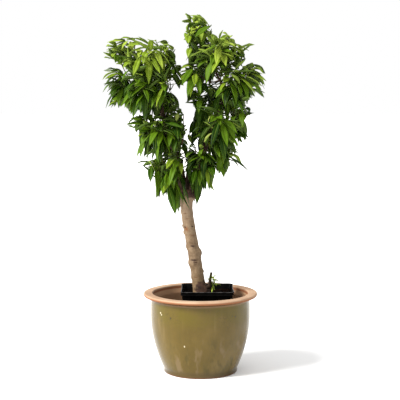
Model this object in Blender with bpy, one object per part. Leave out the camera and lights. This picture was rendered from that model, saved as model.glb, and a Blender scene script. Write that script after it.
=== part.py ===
"""A dwarf nectarine tree that forks low into two leafy boughs. It grows in a square
black nursery pot, which stands inside a round glazed pot with a bare clay rim.

Metres, +Z up. The origin is the middle of the glazed pot's flat underside. +X is to
the right as the tree is looked at from -Y, with the leaning trunk's top on the left.
"""

import math
import random
from collections import namedtuple

import bmesh
import bpy
import numpy as np
from mathutils import Quaternion, Vector
from mathutils.bvhtree import BVHTree

# Round glazed pot
RIM_RADIUS = 0.180
RIM_THICKNESS = 0.0105
RIM_WIDTH = 0.029
RIM_ROUNDING = 0.003
POT_HEIGHT = 0.2525
BELLY_RADIUS = 0.158
NECK_RADIUS = 0.1555
FOOT_RADIUS = 0.1175
FOOT_HEIGHT = 0.013
BELLY_HEIGHT = 0.176
BELLY_POWER = 1.85
BELLY_STEPS = 6
POT_WALL = 0.011
POT_FLOOR = 0.013
POT_SEGMENTS = 36

# Square nursery pot and the soil in it
GAP = 0.0003
NURSERY_X = 0.0215
NURSERY_TOP_SIDE = 0.167
NURSERY_FOOT_SIDE = 0.122
NURSERY_TOP = 0.266
NURSERY_WALL = 0.0014
NURSERY_LIP = 0.003
NURSERY_LIP_HEIGHT = 0.012
CORNER_RADIUS = 0.014
CORNER_STEPS = 4
SOIL_TOP = 0.249

# Trunk, from the flat cut at the soil to the fork
TRUNK_FOOT = Vector((0.0042, 0.0, SOIL_TOP + GAP))
TRUNK_FORK = Vector((-0.0452, 0.0, 0.574))
TRUNK_BOW = -0.0078
TRUNK_SWAY = 0.0022
SWAY_WAVE = 0.8
FOOT_THICKNESS = 0.0205
FORK_THICKNESS = 0.0185
ROOT_FLARE = 0.0055
ROOT_FLARE_HEIGHT = 0.020
FORK_SPREAD = 0.007
FORK_SPREAD_HEIGHT = 0.030
TRUNK_SIDES = 14
TRUNK_RINGS = 30

# Knobs and pruning scars on the trunk: height, turn in degrees from +X towards +Y,
# how far each stands out, and its half size
KNOBS = (
    (0.262, -25, 0.0075, 0.016),
    (0.258, 100, 0.0050, 0.014),
    (0.300, 195, 0.0022, 0.007),
    (0.321, -12, 0.0030, 0.006),
    (0.344, 190, 0.0040, 0.014),
    (0.350, 262, 0.0034, 0.008),
    (0.381, -10, 0.0070, 0.013),
    (0.396, 185, 0.0034, 0.010),
    (0.400, 275, 0.0022, 0.006),
    (0.420, 80, 0.0040, 0.008),
    (0.443, 188, 0.0036, 0.006),
    (0.464, 190, 0.0034, 0.005),
    (0.478, 60, 0.0030, 0.007),
    (0.510, 185, 0.0024, 0.005),
    (0.558, -22, 0.0150, 0.0125),
)

LIMB_SIDES = 8
BOUGH_RINGS = 10
LEADER_RINGS = 5
TWIG_SIDES = 3
STEM_RINGS = 3
SHOOT_RINGS = 2
STEM_RADIUS = 0.0026
SHOOT_RADIUS = 0.0019
TIP_RADIUS = 0.0011

# Leaves: long and pointed, arching over and hanging
LEAF_LENGTH = 0.094
LEAF_WIDTH = 0.0250
LEAF_STATIONS = (0.30, 0.62)
LEAF_FOLD = 0.28
HANG = 1.2
LEAF_THICKNESS = 0.0011
LEAF_ROOT = 0.0006
LOWEST_LEAN = 108
HIGHEST_LEAN = 46
FIRST_LEAF = 0.30
STEM_FIRST_LEAF = 0.40
SPACE_DROP = 0.030
MASS_REACH = 0.150
MARK_SPACING = 0.012
FIRST_MARK = 0.35
LIMB_SPACING = 0.004
SHOOT_TRIES = 8
LEAF_TRIES = 6
GOLDEN_TURN = math.radians(137.5)
LEAF_CLEARANCE = 0.0016
# The place in front of the tree that it is seen from
VIEW_PLACE = Vector((-0.0016, -3.2, 0.8405))
# Open air in the V and around the crown, as seen from the front: middle x and z, half
# width and half height
CROWN_OPENINGS = (
    (-0.094, 0.905, 0.018, 0.028),
    (-0.062, 0.875, 0.022, 0.026),
    (-0.036, 0.812, 0.018, 0.036),
    (-0.011, 0.707, 0.012, 0.016),
    (0.055, 0.935, 0.014, 0.030),
    (-0.066, 0.590, 0.010, 0.016),
    (-0.064, 1.010, 0.024, 0.046),
    (-0.068, 1.072, 0.024, 0.036),
    (0.040, 1.112, 0.028, 0.046),
    (-0.010, 1.150, 0.042, 0.024),
    (0.098, 1.095, 0.036, 0.028),
    (-0.232, 1.078, 0.050, 0.026),
    (-0.118, 1.068, 0.050, 0.028),
    (0.140, 1.062, 0.048, 0.034),
    (0.185, 0.998, 0.048, 0.030),
    (0.200, 0.985, 0.030, 0.030),
    (0.228, 0.900, 0.030, 0.050),
    (0.180, 0.845, 0.030, 0.030),
    (0.184, 0.775, 0.045, 0.048),
    (0.165, 0.705, 0.045, 0.040),
    (0.115, 0.605, 0.045, 0.045),
    (0.060, 0.600, 0.020, 0.028),
    (0.026, 0.548, 0.036, 0.032),
    (-0.128, 0.522, 0.030, 0.030),
    (-0.240, 0.725, 0.050, 0.055),
    (-0.207, 0.600, 0.050, 0.062),
    (-0.165, 0.530, 0.022, 0.030),
    (-0.146, 0.586, 0.012, 0.030),
    (-0.262, 0.808, 0.042, 0.034),
    (-0.328, 0.925, 0.022, 0.095),
)
# One leaf in this many is left out of the solids, which keep the crown's shape without it
LEAVES_PER_GAP = 3

UP = Vector((0.0, 0.0, 1.0))
DOWN = Vector((0.0, 0.0, -1.0))

Leaf = namedtuple("Leaf", "root direction side length width droop roll")
Mass = namedtuple("Mass", "name limb along turn tip spread shoots leaves size seed")


class Limb:
    """A tapering limb on a smooth curve, from its foot to its tip. A level foot is cut
    flat to stand on what is below it."""

    def __init__(self, foot, leave, tip, arrive, thick, thin, rings, level_foot=False):
        self.rings = rings
        self.level_foot = level_foot
        self.foot = Vector(foot)
        self.tip = Vector(tip)
        self.thick = thick
        self.thin = thin
        reach = (self.tip - self.foot).length
        self.bend_out = self.foot + Vector(leave).normalized() * reach * 0.36
        self.bend_in = self.tip - Vector(arrive).normalized() * reach * 0.36

    def point(self, t):
        s = 1.0 - t
        ends = self.foot * s**3 + self.tip * t**3
        return ends + self.bend_out * 3 * s * s * t + self.bend_in * 3 * s * t * t

    def direction(self, t):
        return (self.point(t + 0.01) - self.point(t - 0.01)).normalized()

    def radius(self, t):
        return self.thick + (self.thin - self.thick) * t

    def chord_point(self, t):
        """The point at t on the straight lengths that the limb is modelled with."""
        step = min(int(t * self.rings), self.rings - 1)
        start = self.point(step / self.rings)
        return start.lerp(self.point((step + 1) / self.rings), t * self.rings - step)

    def side(self, along, turn):
        """A point just clear of the limb's side, and the way out from the limb there."""
        heading = Vector((math.cos(math.radians(turn)), math.sin(math.radians(turn)), 0.0))
        direction = self.direction(along)
        out = (heading - direction * heading.dot(direction)).normalized()
        return self.point(along) + out * (self.radius(along) + GAP), out

    def end(self, turn):
        """A point just past the limb's flat tip, set off the middle towards a turn."""
        heading = Vector((math.cos(math.radians(turn)), math.sin(math.radians(turn)), 0.0))
        direction = self.direction(1.0)
        out = (heading - direction * heading.dot(direction)).normalized()
        return self.tip + direction * GAP + out * self.thin * 0.55


def rings_shape(rings):
    """The points and faces of a closed shape through rings of points, with flat ends."""
    sides = len(rings[0])
    points = [point for ring in rings for point in ring]
    faces = [list(range(sides)), [len(points) - 1 - i for i in range(sides)]]
    for ring in range(len(rings) - 1):
        low = ring * sides
        for i in range(sides):
            j = (i + 1) % sides
            faces.append((low + i, low + j, low + sides + j, low + sides + i))
    return points, faces


def limb_shape(limb, sides):
    """The points and faces of a limb as a many-sided tube with flat ends."""
    rings = []
    across = limb.direction(0.0).cross(Vector((0.0, 1.0, 0.0))).normalized()
    for step in range(limb.rings + 1):
        t = step / limb.rings
        axis = UP if limb.level_foot and step == 0 else limb.direction(t)
        across = (across - axis * across.dot(axis)).normalized()
        over = axis.cross(across)
        radius = limb.radius(t)
        ring = []
        for i in range(sides):
            angle = math.tau * i / sides
            ring.append(limb.point(t) + (across * math.cos(angle) + over * math.sin(angle)) * radius)
        rings.append(ring)
    return rings_shape(rings)


def trunk_centre(height):
    """The middle of the leaning trunk at a height."""
    s = (height - TRUNK_FOOT.z) / (TRUNK_FORK.z - TRUNK_FOOT.z)
    centre = TRUNK_FOOT.lerp(TRUNK_FORK, s)
    centre.x += TRUNK_BOW * 4 * s * (1 - s) + TRUNK_SWAY * math.sin((s - 1) / SWAY_WAVE * math.tau)
    return centre


def trunk_radius(height, turn):
    """The trunk's radius at a height, in a direction given in radians."""
    s = (height - TRUNK_FOOT.z) / (TRUNK_FORK.z - TRUNK_FOOT.z)
    radius = FOOT_THICKNESS + (FORK_THICKNESS - FOOT_THICKNESS) * s
    radius += ROOT_FLARE * math.exp(-(height - TRUNK_FOOT.z) / ROOT_FLARE_HEIGHT)
    spread = math.exp(-(((TRUNK_FORK.z - height) / FORK_SPREAD_HEIGHT) ** 2))
    radius += FORK_SPREAD * spread * math.cos(turn) ** 2
    for knob_height, knob_turn, proud, size in KNOBS:
        around = math.remainder(turn - math.radians(knob_turn), math.tau) * radius
        distance = math.hypot(height - knob_height, around)
        radius += proud * math.exp(-((distance / size) ** 2) * 1.5)
    return radius


def trunk_side(height, turn):
    """A point just clear of the trunk's side, and the way out from the trunk there."""
    angle = math.radians(turn)
    out = Vector((math.cos(angle), math.sin(angle), 0.0))
    return trunk_centre(height) + out * (trunk_radius(height, angle) + GAP), out


def make_limbs():
    """The two main boughs, the leader on the right one, and a bare twig, by name."""
    fork_top = TRUNK_FORK.z + GAP
    left = Limb(
        foot=(-0.0575, 0.0, fork_top), leave=(0.05, 0.0, 1.0),
        tip=(-0.125, -0.012, 0.862), arrive=(-0.05, -0.10, 1.0),
        thick=0.0130, thin=0.0066, rings=BOUGH_RINGS, level_foot=True,
    )
    right = Limb(
        foot=(-0.0300, 0.0, fork_top), leave=(0.25, 0.0, 1.0),
        tip=(0.070, 0.010, 0.872), arrive=(0.30, 0.05, 1.0),
        thick=0.0126, thin=0.0062, rings=BOUGH_RINGS, level_foot=True,
    )
    leader = Limb(
        foot=right.end(180), leave=right.direction(1.0),
        tip=(0.034, 0.010, 0.980), arrive=(-0.20, 0.0, 1.0),
        thick=0.0038, thin=0.0030, rings=LEADER_RINGS,
    )
    twig_foot, twig_out = left.side(0.46, -25)
    twig = Limb(
        foot=twig_foot, leave=twig_out,
        tip=(-0.053, -0.012, 0.816), arrive=(0.10, 0.0, 1.0),
        thick=0.0024, thin=0.0015, rings=LEADER_RINGS,
    )
    return {"left_bough": left, "right_bough": right, "right_leader": leader, "bare_twig": twig}


# Masses of foliage: name, limb that carries it, place along it, turn round it in
# degrees, tip of its stem, length of its side shoots, their number, leaves on each,
# leaf size and seed. A stem at place 1 grows on from the limb's tip, and a place on the
# trunk is a height.
MASSES = (
    Mass("basal_shoot", "trunk", 0.271, 0, (0.043, -0.010, 0.301), 0.013, 3, 5, 0.30, 53),
    Mass("left_low_west", "left_bough", 0.15, 190, (-0.120, -0.025, 0.680), 0.055, 4, 8, 1.05, 80),
    Mass("left_low_front", "left_bough", 0.10, -90, (-0.082, -0.068, 0.684), 0.050, 4, 8, 1.0, 37),
    Mass("left_low_back", "left_bough", 0.20, 90, (-0.080, 0.075, 0.665), 0.055, 4, 8, 1.0, 13),
    Mass("left_middle_front", "left_bough", 0.40, -110, (-0.122, -0.080, 0.798), 0.055, 4, 8, 1.0, 14),
    Mass("left_middle_west", "left_bough", 0.60, 180, (-0.180, -0.010, 0.822), 0.055, 4, 8, 1.0, 79),
    Mass("left_middle_back", "left_bough", 0.50, 90, (-0.110, 0.075, 0.775), 0.055, 4, 8, 1.0, 67),
    Mass("left_middle_east", "left_bough", 0.72, 0, (-0.088, -0.005, 0.822), 0.040, 3, 7, 0.9, 101),
    Mass("left_top_outer", "left_bough", 0.97, 180, (-0.246, -0.020, 0.972), 0.060, 6, 8, 1.0, 8),
    Mass("left_top_front", "left_bough", 0.92, -110, (-0.178, -0.072, 1.002), 0.065, 5, 8, 1.0, 17),
    Mass("left_top_back", "left_bough", 0.88, 80, (-0.150, 0.085, 0.960), 0.065, 5, 8, 1.0, 107),
    Mass("left_top_west", "left_bough", 1.0, 200, (-0.236, -0.020, 1.003), 0.080, 7, 10, 1.0, 100),
    Mass("left_top_east", "left_bough", 1.0, 20, (-0.120, 0.000, 1.010), 0.072, 6, 9, 1.0, 58),
    Mass("right_low_front", "right_bough", 0.14, -90, (-0.014, -0.070, 0.714), 0.048, 4, 8, 0.95, 40),
    Mass("right_low_east", "right_bough", 0.32, 0, (0.066, -0.010, 0.722), 0.048, 4, 8, 0.95, 21),
    Mass("right_low_back", "right_bough", 0.20, 90, (-0.026, 0.066, 0.664), 0.055, 5, 8, 1.0, 15),
    Mass("right_middle_front", "right_bough", 0.52, -90, (0.048, -0.080, 0.812), 0.055, 4, 8, 1.0, 38),
    Mass("right_middle_east", "right_bough", 0.60, 0, (0.108, -0.010, 0.830), 0.050, 4, 8, 1.05, 10),
    Mass("right_middle_back", "right_bough", 0.55, 90, (0.050, 0.080, 0.790), 0.055, 4, 8, 1.0, 101),
    Mass("right_middle_west", "right_bough", 0.64, 180, (-0.004, -0.010, 0.900), 0.045, 4, 8, 1.0, 90),
    Mass("right_upper_front", "right_bough", 0.93, -90, (0.092, -0.072, 0.938), 0.055, 4, 8, 1.0, 66),
    Mass("right_upper_back", "right_bough", 0.88, 90, (0.070, 0.085, 0.895), 0.055, 4, 8, 1.0, 58),
    Mass("right_upper_side", "right_bough", 1.0, 0, (0.146, 0.000, 0.945), 0.062, 5, 9, 1.0, 35),
    Mass("right_top_low", "right_leader", 0.45, 190, (-0.012, -0.030, 0.948), 0.055, 4, 8, 1.0, 13),
    Mass("right_top_front", "right_leader", 0.70, -90, (0.040, -0.070, 1.008), 0.050, 4, 8, 1.05, 60),
    Mass("right_top_back", "right_leader", 0.60, 90, (0.035, 0.080, 1.005), 0.055, 4, 8, 1.0, 63),
    Mass("right_top_high", "right_leader", 1.0, 180, (-0.022, 0.000, 1.066), 0.065, 6, 9, 1.05, 84),
    Mass("right_top_side", "right_leader", 0.80, 0, (0.084, 0.010, 1.024), 0.062, 5, 9, 1.0, 82),
)


def spaced(limb, spacing, start=0.0):
    """Points along a limb about a spacing apart, from its place `start` to its tip."""
    count = max(2, round((limb.tip - limb.foot).length * (1.0 - start) / spacing))
    places = [start + (1.0 - start) * i / count for i in range(count + 1)]
    return [limb.point(t) for t in places], [limb.radius(t) for t in places]


class Crown:
    """The room that the masses share: a point belongs to the mass whose stem is
    nearest, and nothing but a limb's own mass comes near a limb."""

    def __init__(self, limbs, stems):
        self.owners = list(stems)
        marks = [np.array(spaced(stem, MARK_SPACING, FIRST_MARK)[0]) for stem in stems.values()]
        self.marks = np.vstack(marks)
        self.first_marks = np.cumsum([0] + [len(own) for own in marks[:-1]])
        solid = {}
        for name, limb in list(limbs.items()) + list(stems.items()):
            points, radii = spaced(limb, LIMB_SPACING)
            solid[name] = np.column_stack([points, radii])
        self.foreign = {
            owner: np.vstack([limb for name, limb in solid.items() if name != owner]) for owner in self.owners
        }

    def owns(self, name, points, clearance):
        """Whether points keep within reach of their own stem, nearer to it than to any other."""
        raised = points + np.array(UP) * SPACE_DROP
        gaps = np.linalg.norm(raised[:, None] - self.marks[None], axis=2)
        nearest = np.minimum.reduceat(gaps, self.first_marks, axis=1)
        place = self.owners.index(name)
        own = nearest[:, place].copy()
        nearest[:, place] = np.inf
        return own.max() <= MASS_REACH and (nearest.min(axis=1) - own).min() >= 2 * clearance

    def holds(self, name, points, clearance):
        """Whether points are in their mass's own room and clear of every other limb."""
        points = np.array([point[:] for point in points])
        if not self.owns(name, points, clearance):
            return False
        foreign = self.foreign[name]
        foreign = foreign[np.linalg.norm(foreign[:, :3] - points[0], axis=1) < MASS_REACH]
        if not len(foreign):
            return True
        gaps = np.linalg.norm(points[:, None] - foreign[None, :, :3], axis=2) - foreign[:, 3]
        return gaps.min() > clearance + LIMB_SPACING / 4


def twig_scale(mass):
    """How thick a mass's twigs are: thinner than the rest where its leaves are small."""
    return min(1.0, math.sqrt(mass.size))


def make_stem(mass, limbs):
    """The stem of a mass, from just clear of its limb to its tip."""
    limb = limbs.get(mass.limb)
    if limb is None:
        foot, out = trunk_side(mass.along, mass.turn)
    elif mass.along == 1.0:
        foot = limb.end(mass.turn)
        out = limb.direction(1.0)
    else:
        foot, out = limb.side(mass.along, mass.turn)
    thick, thin = STEM_RADIUS * twig_scale(mass), TIP_RADIUS * twig_scale(mass)
    while True:
        arrive = UP * 0.6 + (Vector(mass.tip) - foot).normalized()
        stem = Limb(foot, out, mass.tip, arrive, thick, thin, STEM_RINGS)
        if clear_of_trunk(limb_shape(stem, TWIG_SIDES)[0][:TWIG_SIDES], GAP):
            return stem
        foot = foot + out * GAP


def make_shoot(mass, stem, index, rng):
    """One of the stem's side shoots, each further along the stem than the last."""
    along = 0.18 + 0.70 * (index + rng.uniform(0.1, 0.9)) / mass.shoots
    axis = stem.direction(along)
    out = axis.orthogonal().normalized()
    out.rotate(Quaternion(axis, index * GOLDEN_TURN + rng.uniform(0.0, math.tau)))
    heading = (axis * 0.45 + out + UP * 0.15).normalized()
    length = mass.spread * (1.1 - 0.4 * along) * rng.uniform(0.85, 1.15)
    foot = stem.chord_point(along)
    tip = foot + heading * length * 0.95 + UP * length * 0.18
    thick, thin = SHOOT_RADIUS * twig_scale(mass), TIP_RADIUS * twig_scale(mass)
    return Limb(foot, heading, tip, heading + UP * 1.1, thick, thin, SHOOT_RINGS)


def make_leaf(mass, shoot, along, u, turn, rng):
    """A leaf at a place along a shoot. The lowest ones, with u near 0, lean out most."""
    axis = shoot.direction(min(along, 0.99))
    out = axis.orthogonal().normalized()
    out.rotate(Quaternion(axis, turn + rng.uniform(-0.3, 0.3)))
    lean = math.radians(LOWEST_LEAN + (HIGHEST_LEAN - LOWEST_LEAN) * u + rng.uniform(-14, 14))
    direction = (axis * math.cos(lean) + out * math.sin(lean)).normalized()
    side = direction.cross(UP)
    if side.length < 0.2:
        side = out.cross(UP)
    side.normalize()
    length = LEAF_LENGTH * mass.size * rng.uniform(0.82, 1.15) * (1.0 - 0.25 * u**3)
    width = LEAF_WIDTH * mass.size * rng.uniform(0.85, 1.12) * (1.0 - 0.20 * u**3)
    droop = (0.88 - 0.40 * u + rng.uniform(-0.26, 0.26)) * min(1.0, 1.2 * mass.size)
    roll = rng.uniform(-0.7, 0.7)
    root = shoot.chord_point(along) - direction * LEAF_ROOT
    return Leaf(root, direction, side, length, width, droop, roll)


def leaf_frame(leaf, t):
    """The middle of a leaf's blade at t, with its side and upper directions there. The
    blade turns down most near its root and then hangs."""
    turned = leaf.droop * (2 * t - t * t)
    fallen = leaf.droop * (t * t - t**3 / 3)
    centre = leaf.root + leaf.length * (leaf.direction * (t - fallen) + DOWN * HANG * fallen)
    along = leaf.direction * (1.0 - turned) + DOWN * HANG * turned
    along.normalize()
    side = leaf.side.copy()
    side.rotate(Quaternion(along, leaf.roll * (0.3 + 0.7 * t)))
    return centre, side, side.cross(along).normalized()


def leaf_outline(t):
    """The share of its full width that a leaf has at t, from its root to its tip."""
    return 3.4 * t**0.75 * (1.0 - t) ** 1.05


def leaf_section(leaf, t):
    """A leaf's two margins and its keel at t."""
    centre, side, upper = leaf_frame(leaf, t)
    half = leaf.width / 2 * leaf_outline(t)
    fold = upper * half * LEAF_FOLD
    keel = centre - upper * LEAF_THICKNESS
    return centre - side * half + fold, centre + side * half + fold, keel


def leaf_shape(leaf):
    """The points and faces of a closed blade, folded along its keel and pointed at both
    ends."""
    points = [leaf.root]
    for t in LEAF_STATIONS:
        points += leaf_section(leaf, t)
    points.append(leaf_frame(leaf, 1.0)[0])
    last = len(points) - 1
    faces = []
    for i in range(3):
        j = (i + 1) % 3
        faces.append((0, 1 + i, 1 + j))
        faces.append((1 + i, 4 + i, 4 + j))
        faces.append((1 + i, 4 + j, 1 + j))
        faces.append((last, 4 + j, 4 + i))
    return points, faces


def leaf_points(leaf):
    """Points spread over a leaf's blade."""
    points = []
    for step in range(1, 10):
        left, right, keel = leaf_section(leaf, step / 9)
        points += [left, right, keel, left.lerp(keel, 0.5), right.lerp(keel, 0.5)]
    return points


def clear_of_trunk(points, clearance):
    """Whether points keep clear of the trunk, and above the soil."""
    for point in points:
        if point.z > TRUNK_FORK.z + clearance:
            continue
        if point.z < SOIL_TOP + clearance:
            return False
        offset = point - trunk_centre(point.z)
        if offset.xy.length < trunk_radius(point.z, math.atan2(offset.y, offset.x)) + clearance:
            return False
    return True


def grow_masses(masses):
    """The stem, shoots and leaves of every mass, each kept to its own space."""
    limbs = make_limbs()
    stems = {mass.name: make_stem(mass, limbs) for mass in masses}
    crown = Crown(limbs, stems)
    return {mass.name: grow_mass(mass, stems[mass.name], crown) for mass in masses}


def in_opening(leaf):
    """Whether a leaf hangs in one of the crown's openings, as seen from the front."""
    for t in (0.3, 0.6, 0.9):
        place = leaf_frame(leaf, t)[0]
        share = VIEW_PLACE.y / (VIEW_PLACE.y - place.y)
        shown = VIEW_PLACE + (place - VIEW_PLACE) * share
        for x, z, half_width, half_height in CROWN_OPENINGS:
            if math.hypot((shown.x - x) / half_width, (shown.z - z) / half_height) < 1.0:
                return True
    return False


def touching(tree, trees):
    return any(tree.overlap(other) for other in trees)


def grow_leaves(mass, shoot, number, first, count, crown, taken):
    """Leaves in a spiral along a shoot, from its place `first` to its tip. A leaf that
    doesn't fit, or that would cut one of those taken, is tried again and then skipped."""
    leaves = []
    start_turn = random.Random(mass.seed * 100 + number).uniform(0.0, math.tau)
    for index in range(count):
        u = index / (count - 1)
        along = first + (1.0 - first) * u**0.85
        turn = start_turn + index * GOLDEN_TURN
        rng = random.Random(mass.seed * 10000 + number * 100 + index)
        for _ in range(LEAF_TRIES):
            leaf = make_leaf(mass, shoot, along, u, turn, rng)
            tree = BVHTree.FromPolygons(*leaf_shape(leaf))
            if in_opening(leaf) or touching(tree, taken):
                continue
            blade = leaf_points(leaf)
            if clear_of_trunk(blade, LEAF_CLEARANCE) and crown.holds(mass.name, blade, LEAF_CLEARANCE):
                leaves.append(leaf)
                taken.append(tree)
                break
    return leaves


def grow_mass(mass, stem, crown):
    """The shoots and leaves of one mass that keep to its space and clear of limbs."""
    rng = random.Random(mass.seed)
    shoots = []
    for index in range(mass.shoots):
        for _ in range(SHOOT_TRIES):
            shoot = make_shoot(mass, stem, index, rng)
            path = spaced(shoot, LIMB_SPACING)[0]
            if crown.holds(mass.name, path, SHOOT_RADIUS + GAP) and clear_of_trunk(path, SHOOT_RADIUS):
                shoots.append(shoot)
                break
    twigs = shoots + [stem]
    twig_trees = [BVHTree.FromPolygons(*limb_shape(twig, TWIG_SIDES)) for twig in twigs]
    leaves = []
    leaf_trees = []
    for number, twig in enumerate(twigs):
        first, count = (FIRST_LEAF, mass.leaves) if twig is not stem else (STEM_FIRST_LEAF, mass.leaves + 3)
        taken = leaf_trees + twig_trees[:number] + twig_trees[number + 1 :]
        grown = len(taken)
        leaves += grow_leaves(mass, twig, number, first, count, crown, taken)
        leaf_trees += taken[grown:]
    return stem, shoots, leaves


def plain_material(name, colour, roughness, metallic=0.0):
    material = bpy.data.materials.new(name)
    material.use_nodes = True
    shader = material.node_tree.nodes["Principled BSDF"]
    shader.inputs["Base Color"].default_value = (*colour, 1.0)
    shader.inputs["Roughness"].default_value = roughness
    shader.inputs["Metallic"].default_value = metallic
    return material


def new_object(name, mesh, material):
    mesh.materials.clear()
    mesh.materials.append(material)
    obj = bpy.data.objects.new(name, mesh)
    bpy.context.scene.collection.objects.link(obj)
    return obj


def mesh_of(name, points, faces):
    """A mesh from points and faces, with its faces pointing out."""
    mesh = bpy.data.meshes.new(name)
    mesh.from_pydata(points, [], faces)
    shape = bmesh.new()
    shape.from_mesh(mesh)
    bmesh.ops.recalc_face_normals(shape, faces=shape.faces)
    shape.to_mesh(mesh)
    shape.free()
    return mesh


def rings_mesh(name, rings):
    return mesh_of(name, *rings_shape(rings))


def limb_mesh(name, limb, sides):
    return mesh_of(name, *limb_shape(limb, sides))


def leaf_mesh(name, leaf):
    return mesh_of(name, *leaf_shape(leaf))


def pot_profile():
    """The glazed pot's outline in the upper half plane, from the middle of its
    underside, up its outer side, over the rim and down inside to the floor."""
    outer = [(0.0, 0.0), (FOOT_RADIUS - 0.003, 0.0), (FOOT_RADIUS, 0.003)]
    rise = BELLY_HEIGHT - FOOT_HEIGHT
    for step in range(BELLY_STEPS + 1):
        u = step / BELLY_STEPS
        radius = FOOT_RADIUS + (BELLY_RADIUS - FOOT_RADIUS) * (1.0 - (1.0 - u) ** BELLY_POWER)
        outer.append((radius, FOOT_HEIGHT + rise * u))
    rim_foot = POT_HEIGHT - RIM_THICKNESS
    outer.append((BELLY_RADIUS, rim_foot - 0.030))
    outer.append((NECK_RADIUS, rim_foot - 0.006))
    outer.append((NECK_RADIUS + 0.004, rim_foot - 0.001))
    rim = [
        (RIM_RADIUS - RIM_ROUNDING, rim_foot),
        (RIM_RADIUS, rim_foot + RIM_ROUNDING),
        (RIM_RADIUS, POT_HEIGHT - RIM_ROUNDING),
        (RIM_RADIUS - RIM_ROUNDING, POT_HEIGHT),
        (RIM_RADIUS - RIM_WIDTH + RIM_ROUNDING, POT_HEIGHT),
        (RIM_RADIUS - RIM_WIDTH, POT_HEIGHT - RIM_ROUNDING),
    ]
    inner = [(RIM_RADIUS - RIM_WIDTH - 0.004, rim_foot - 0.012)]
    for radius, height in reversed(outer[4:-3]):
        inner.append((radius - POT_WALL, height))
    inner.append((FOOT_RADIUS - POT_WALL - 0.006, POT_FLOOR))
    inner.append((0.0, POT_FLOOR))
    return outer + rim + inner


def turned_mesh(name, profile, segments):
    """A profile of (radius, height) from axis to axis, turned round the Z axis."""
    points = [Vector((0.0, 0.0, profile[0][1])), Vector((0.0, 0.0, profile[-1][1]))]
    for radius, height in profile[1:-1]:
        for i in range(segments):
            angle = math.tau * i / segments
            points.append(Vector((radius * math.cos(angle), radius * math.sin(angle), height)))
    last = 2 + (len(profile) - 3) * segments
    faces = []
    for i in range(segments):
        j = (i + 1) % segments
        faces.append((0, 2 + j, 2 + i))
        faces.append((1, last + i, last + j))
        for low in range(2, last, segments):
            faces.append((low + i, low + j, low + segments + j, low + segments + i))
    return mesh_of(name, points, faces)


def square_ring(side, corner, height):
    """Points round a square with rounded corners, at a height, over the pot's middle."""
    ring = []
    reach = side / 2 - corner
    for quarter in range(4):
        middle = math.radians(45 + 90 * quarter)
        x = NURSERY_X + reach * math.copysign(1.0, math.cos(middle))
        y = reach * math.copysign(1.0, math.sin(middle))
        for step in range(CORNER_STEPS + 1):
            angle = math.radians(90 * quarter + 90 * step / CORNER_STEPS)
            ring.append(Vector((x + corner * math.cos(angle), y + corner * math.sin(angle), height)))
    return ring


def nursery_side(height):
    """The nursery pot's outer side length at a height: it narrows downwards."""
    foot = POT_FLOOR + GAP
    share = (height - foot) / (NURSERY_TOP - foot)
    return NURSERY_FOOT_SIDE + (NURSERY_TOP_SIDE - NURSERY_FOOT_SIDE) * share


def make_glazed_pot():
    mesh = turned_mesh("glazed_pot", pot_profile(), POT_SEGMENTS)
    mesh.shade_smooth()
    mesh.set_sharp_from_angle(angle=math.radians(35))
    new_object("glazed_pot", mesh, plain_material("olive_glaze", (0.25, 0.19, 0.05), 0.25))


def make_nursery_pot():
    """A thin-walled square pot with a lip turned out round its top."""
    foot = POT_FLOOR + GAP
    lip_foot = NURSERY_TOP - NURSERY_LIP_HEIGHT
    lip_side = NURSERY_TOP_SIDE
    wall = 2 * NURSERY_WALL
    body_top = nursery_side(lip_foot) - 2 * NURSERY_LIP
    rings = [
        square_ring(NURSERY_FOOT_SIDE - 2 * NURSERY_LIP, CORNER_RADIUS, foot),
        square_ring(body_top, CORNER_RADIUS, lip_foot),
        square_ring(lip_side, CORNER_RADIUS + NURSERY_LIP, lip_foot),
        square_ring(lip_side, CORNER_RADIUS + NURSERY_LIP, NURSERY_TOP),
        square_ring(lip_side - wall, CORNER_RADIUS + NURSERY_LIP - NURSERY_WALL, NURSERY_TOP),
        square_ring(body_top - wall, CORNER_RADIUS - NURSERY_WALL, lip_foot + NURSERY_WALL),
        square_ring(
            NURSERY_FOOT_SIDE - 2 * NURSERY_LIP - wall, CORNER_RADIUS - NURSERY_WALL, foot + NURSERY_WALL
        ),
    ]
    mesh = rings_mesh("nursery_pot", rings)
    new_object("nursery_pot", mesh, plain_material("black_plastic", (0.012, 0.012, 0.013), 0.35))


def make_soil():
    """The soil that fills the nursery pot to its flat top."""
    foot = POT_FLOOR + GAP * 2 + NURSERY_WALL
    lip_foot = NURSERY_TOP - NURSERY_LIP_HEIGHT
    inset = 2 * (NURSERY_LIP + NURSERY_WALL + GAP)
    corner = CORNER_RADIUS - NURSERY_WALL - GAP
    foot_side = nursery_side(POT_FLOOR + GAP) - inset
    top_share = (SOIL_TOP - foot) / (lip_foot - foot)
    top_side = foot_side + (nursery_side(lip_foot) - inset - foot_side) * top_share
    rings = [square_ring(foot_side, corner, foot), square_ring(top_side, corner, SOIL_TOP)]
    new_object("soil", rings_mesh("soil", rings), plain_material("dark_soil", (0.03, 0.018, 0.011), 0.95))


def make_trunk(bark):
    rings = []
    for step in range(TRUNK_RINGS + 1):
        height = TRUNK_FOOT.z + (TRUNK_FORK.z - TRUNK_FOOT.z) * step / TRUNK_RINGS
        centre = trunk_centre(height)
        ring = []
        for i in range(TRUNK_SIDES):
            turn = math.tau * i / TRUNK_SIDES
            out = Vector((math.cos(turn), math.sin(turn), 0.0))
            ring.append(centre + out * trunk_radius(height, turn))
        rings.append(ring)
    mesh = rings_mesh("trunk", rings)
    mesh.shade_smooth()
    mesh.set_sharp_from_angle(angle=math.radians(50))
    new_object("trunk", mesh, bark)


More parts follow.
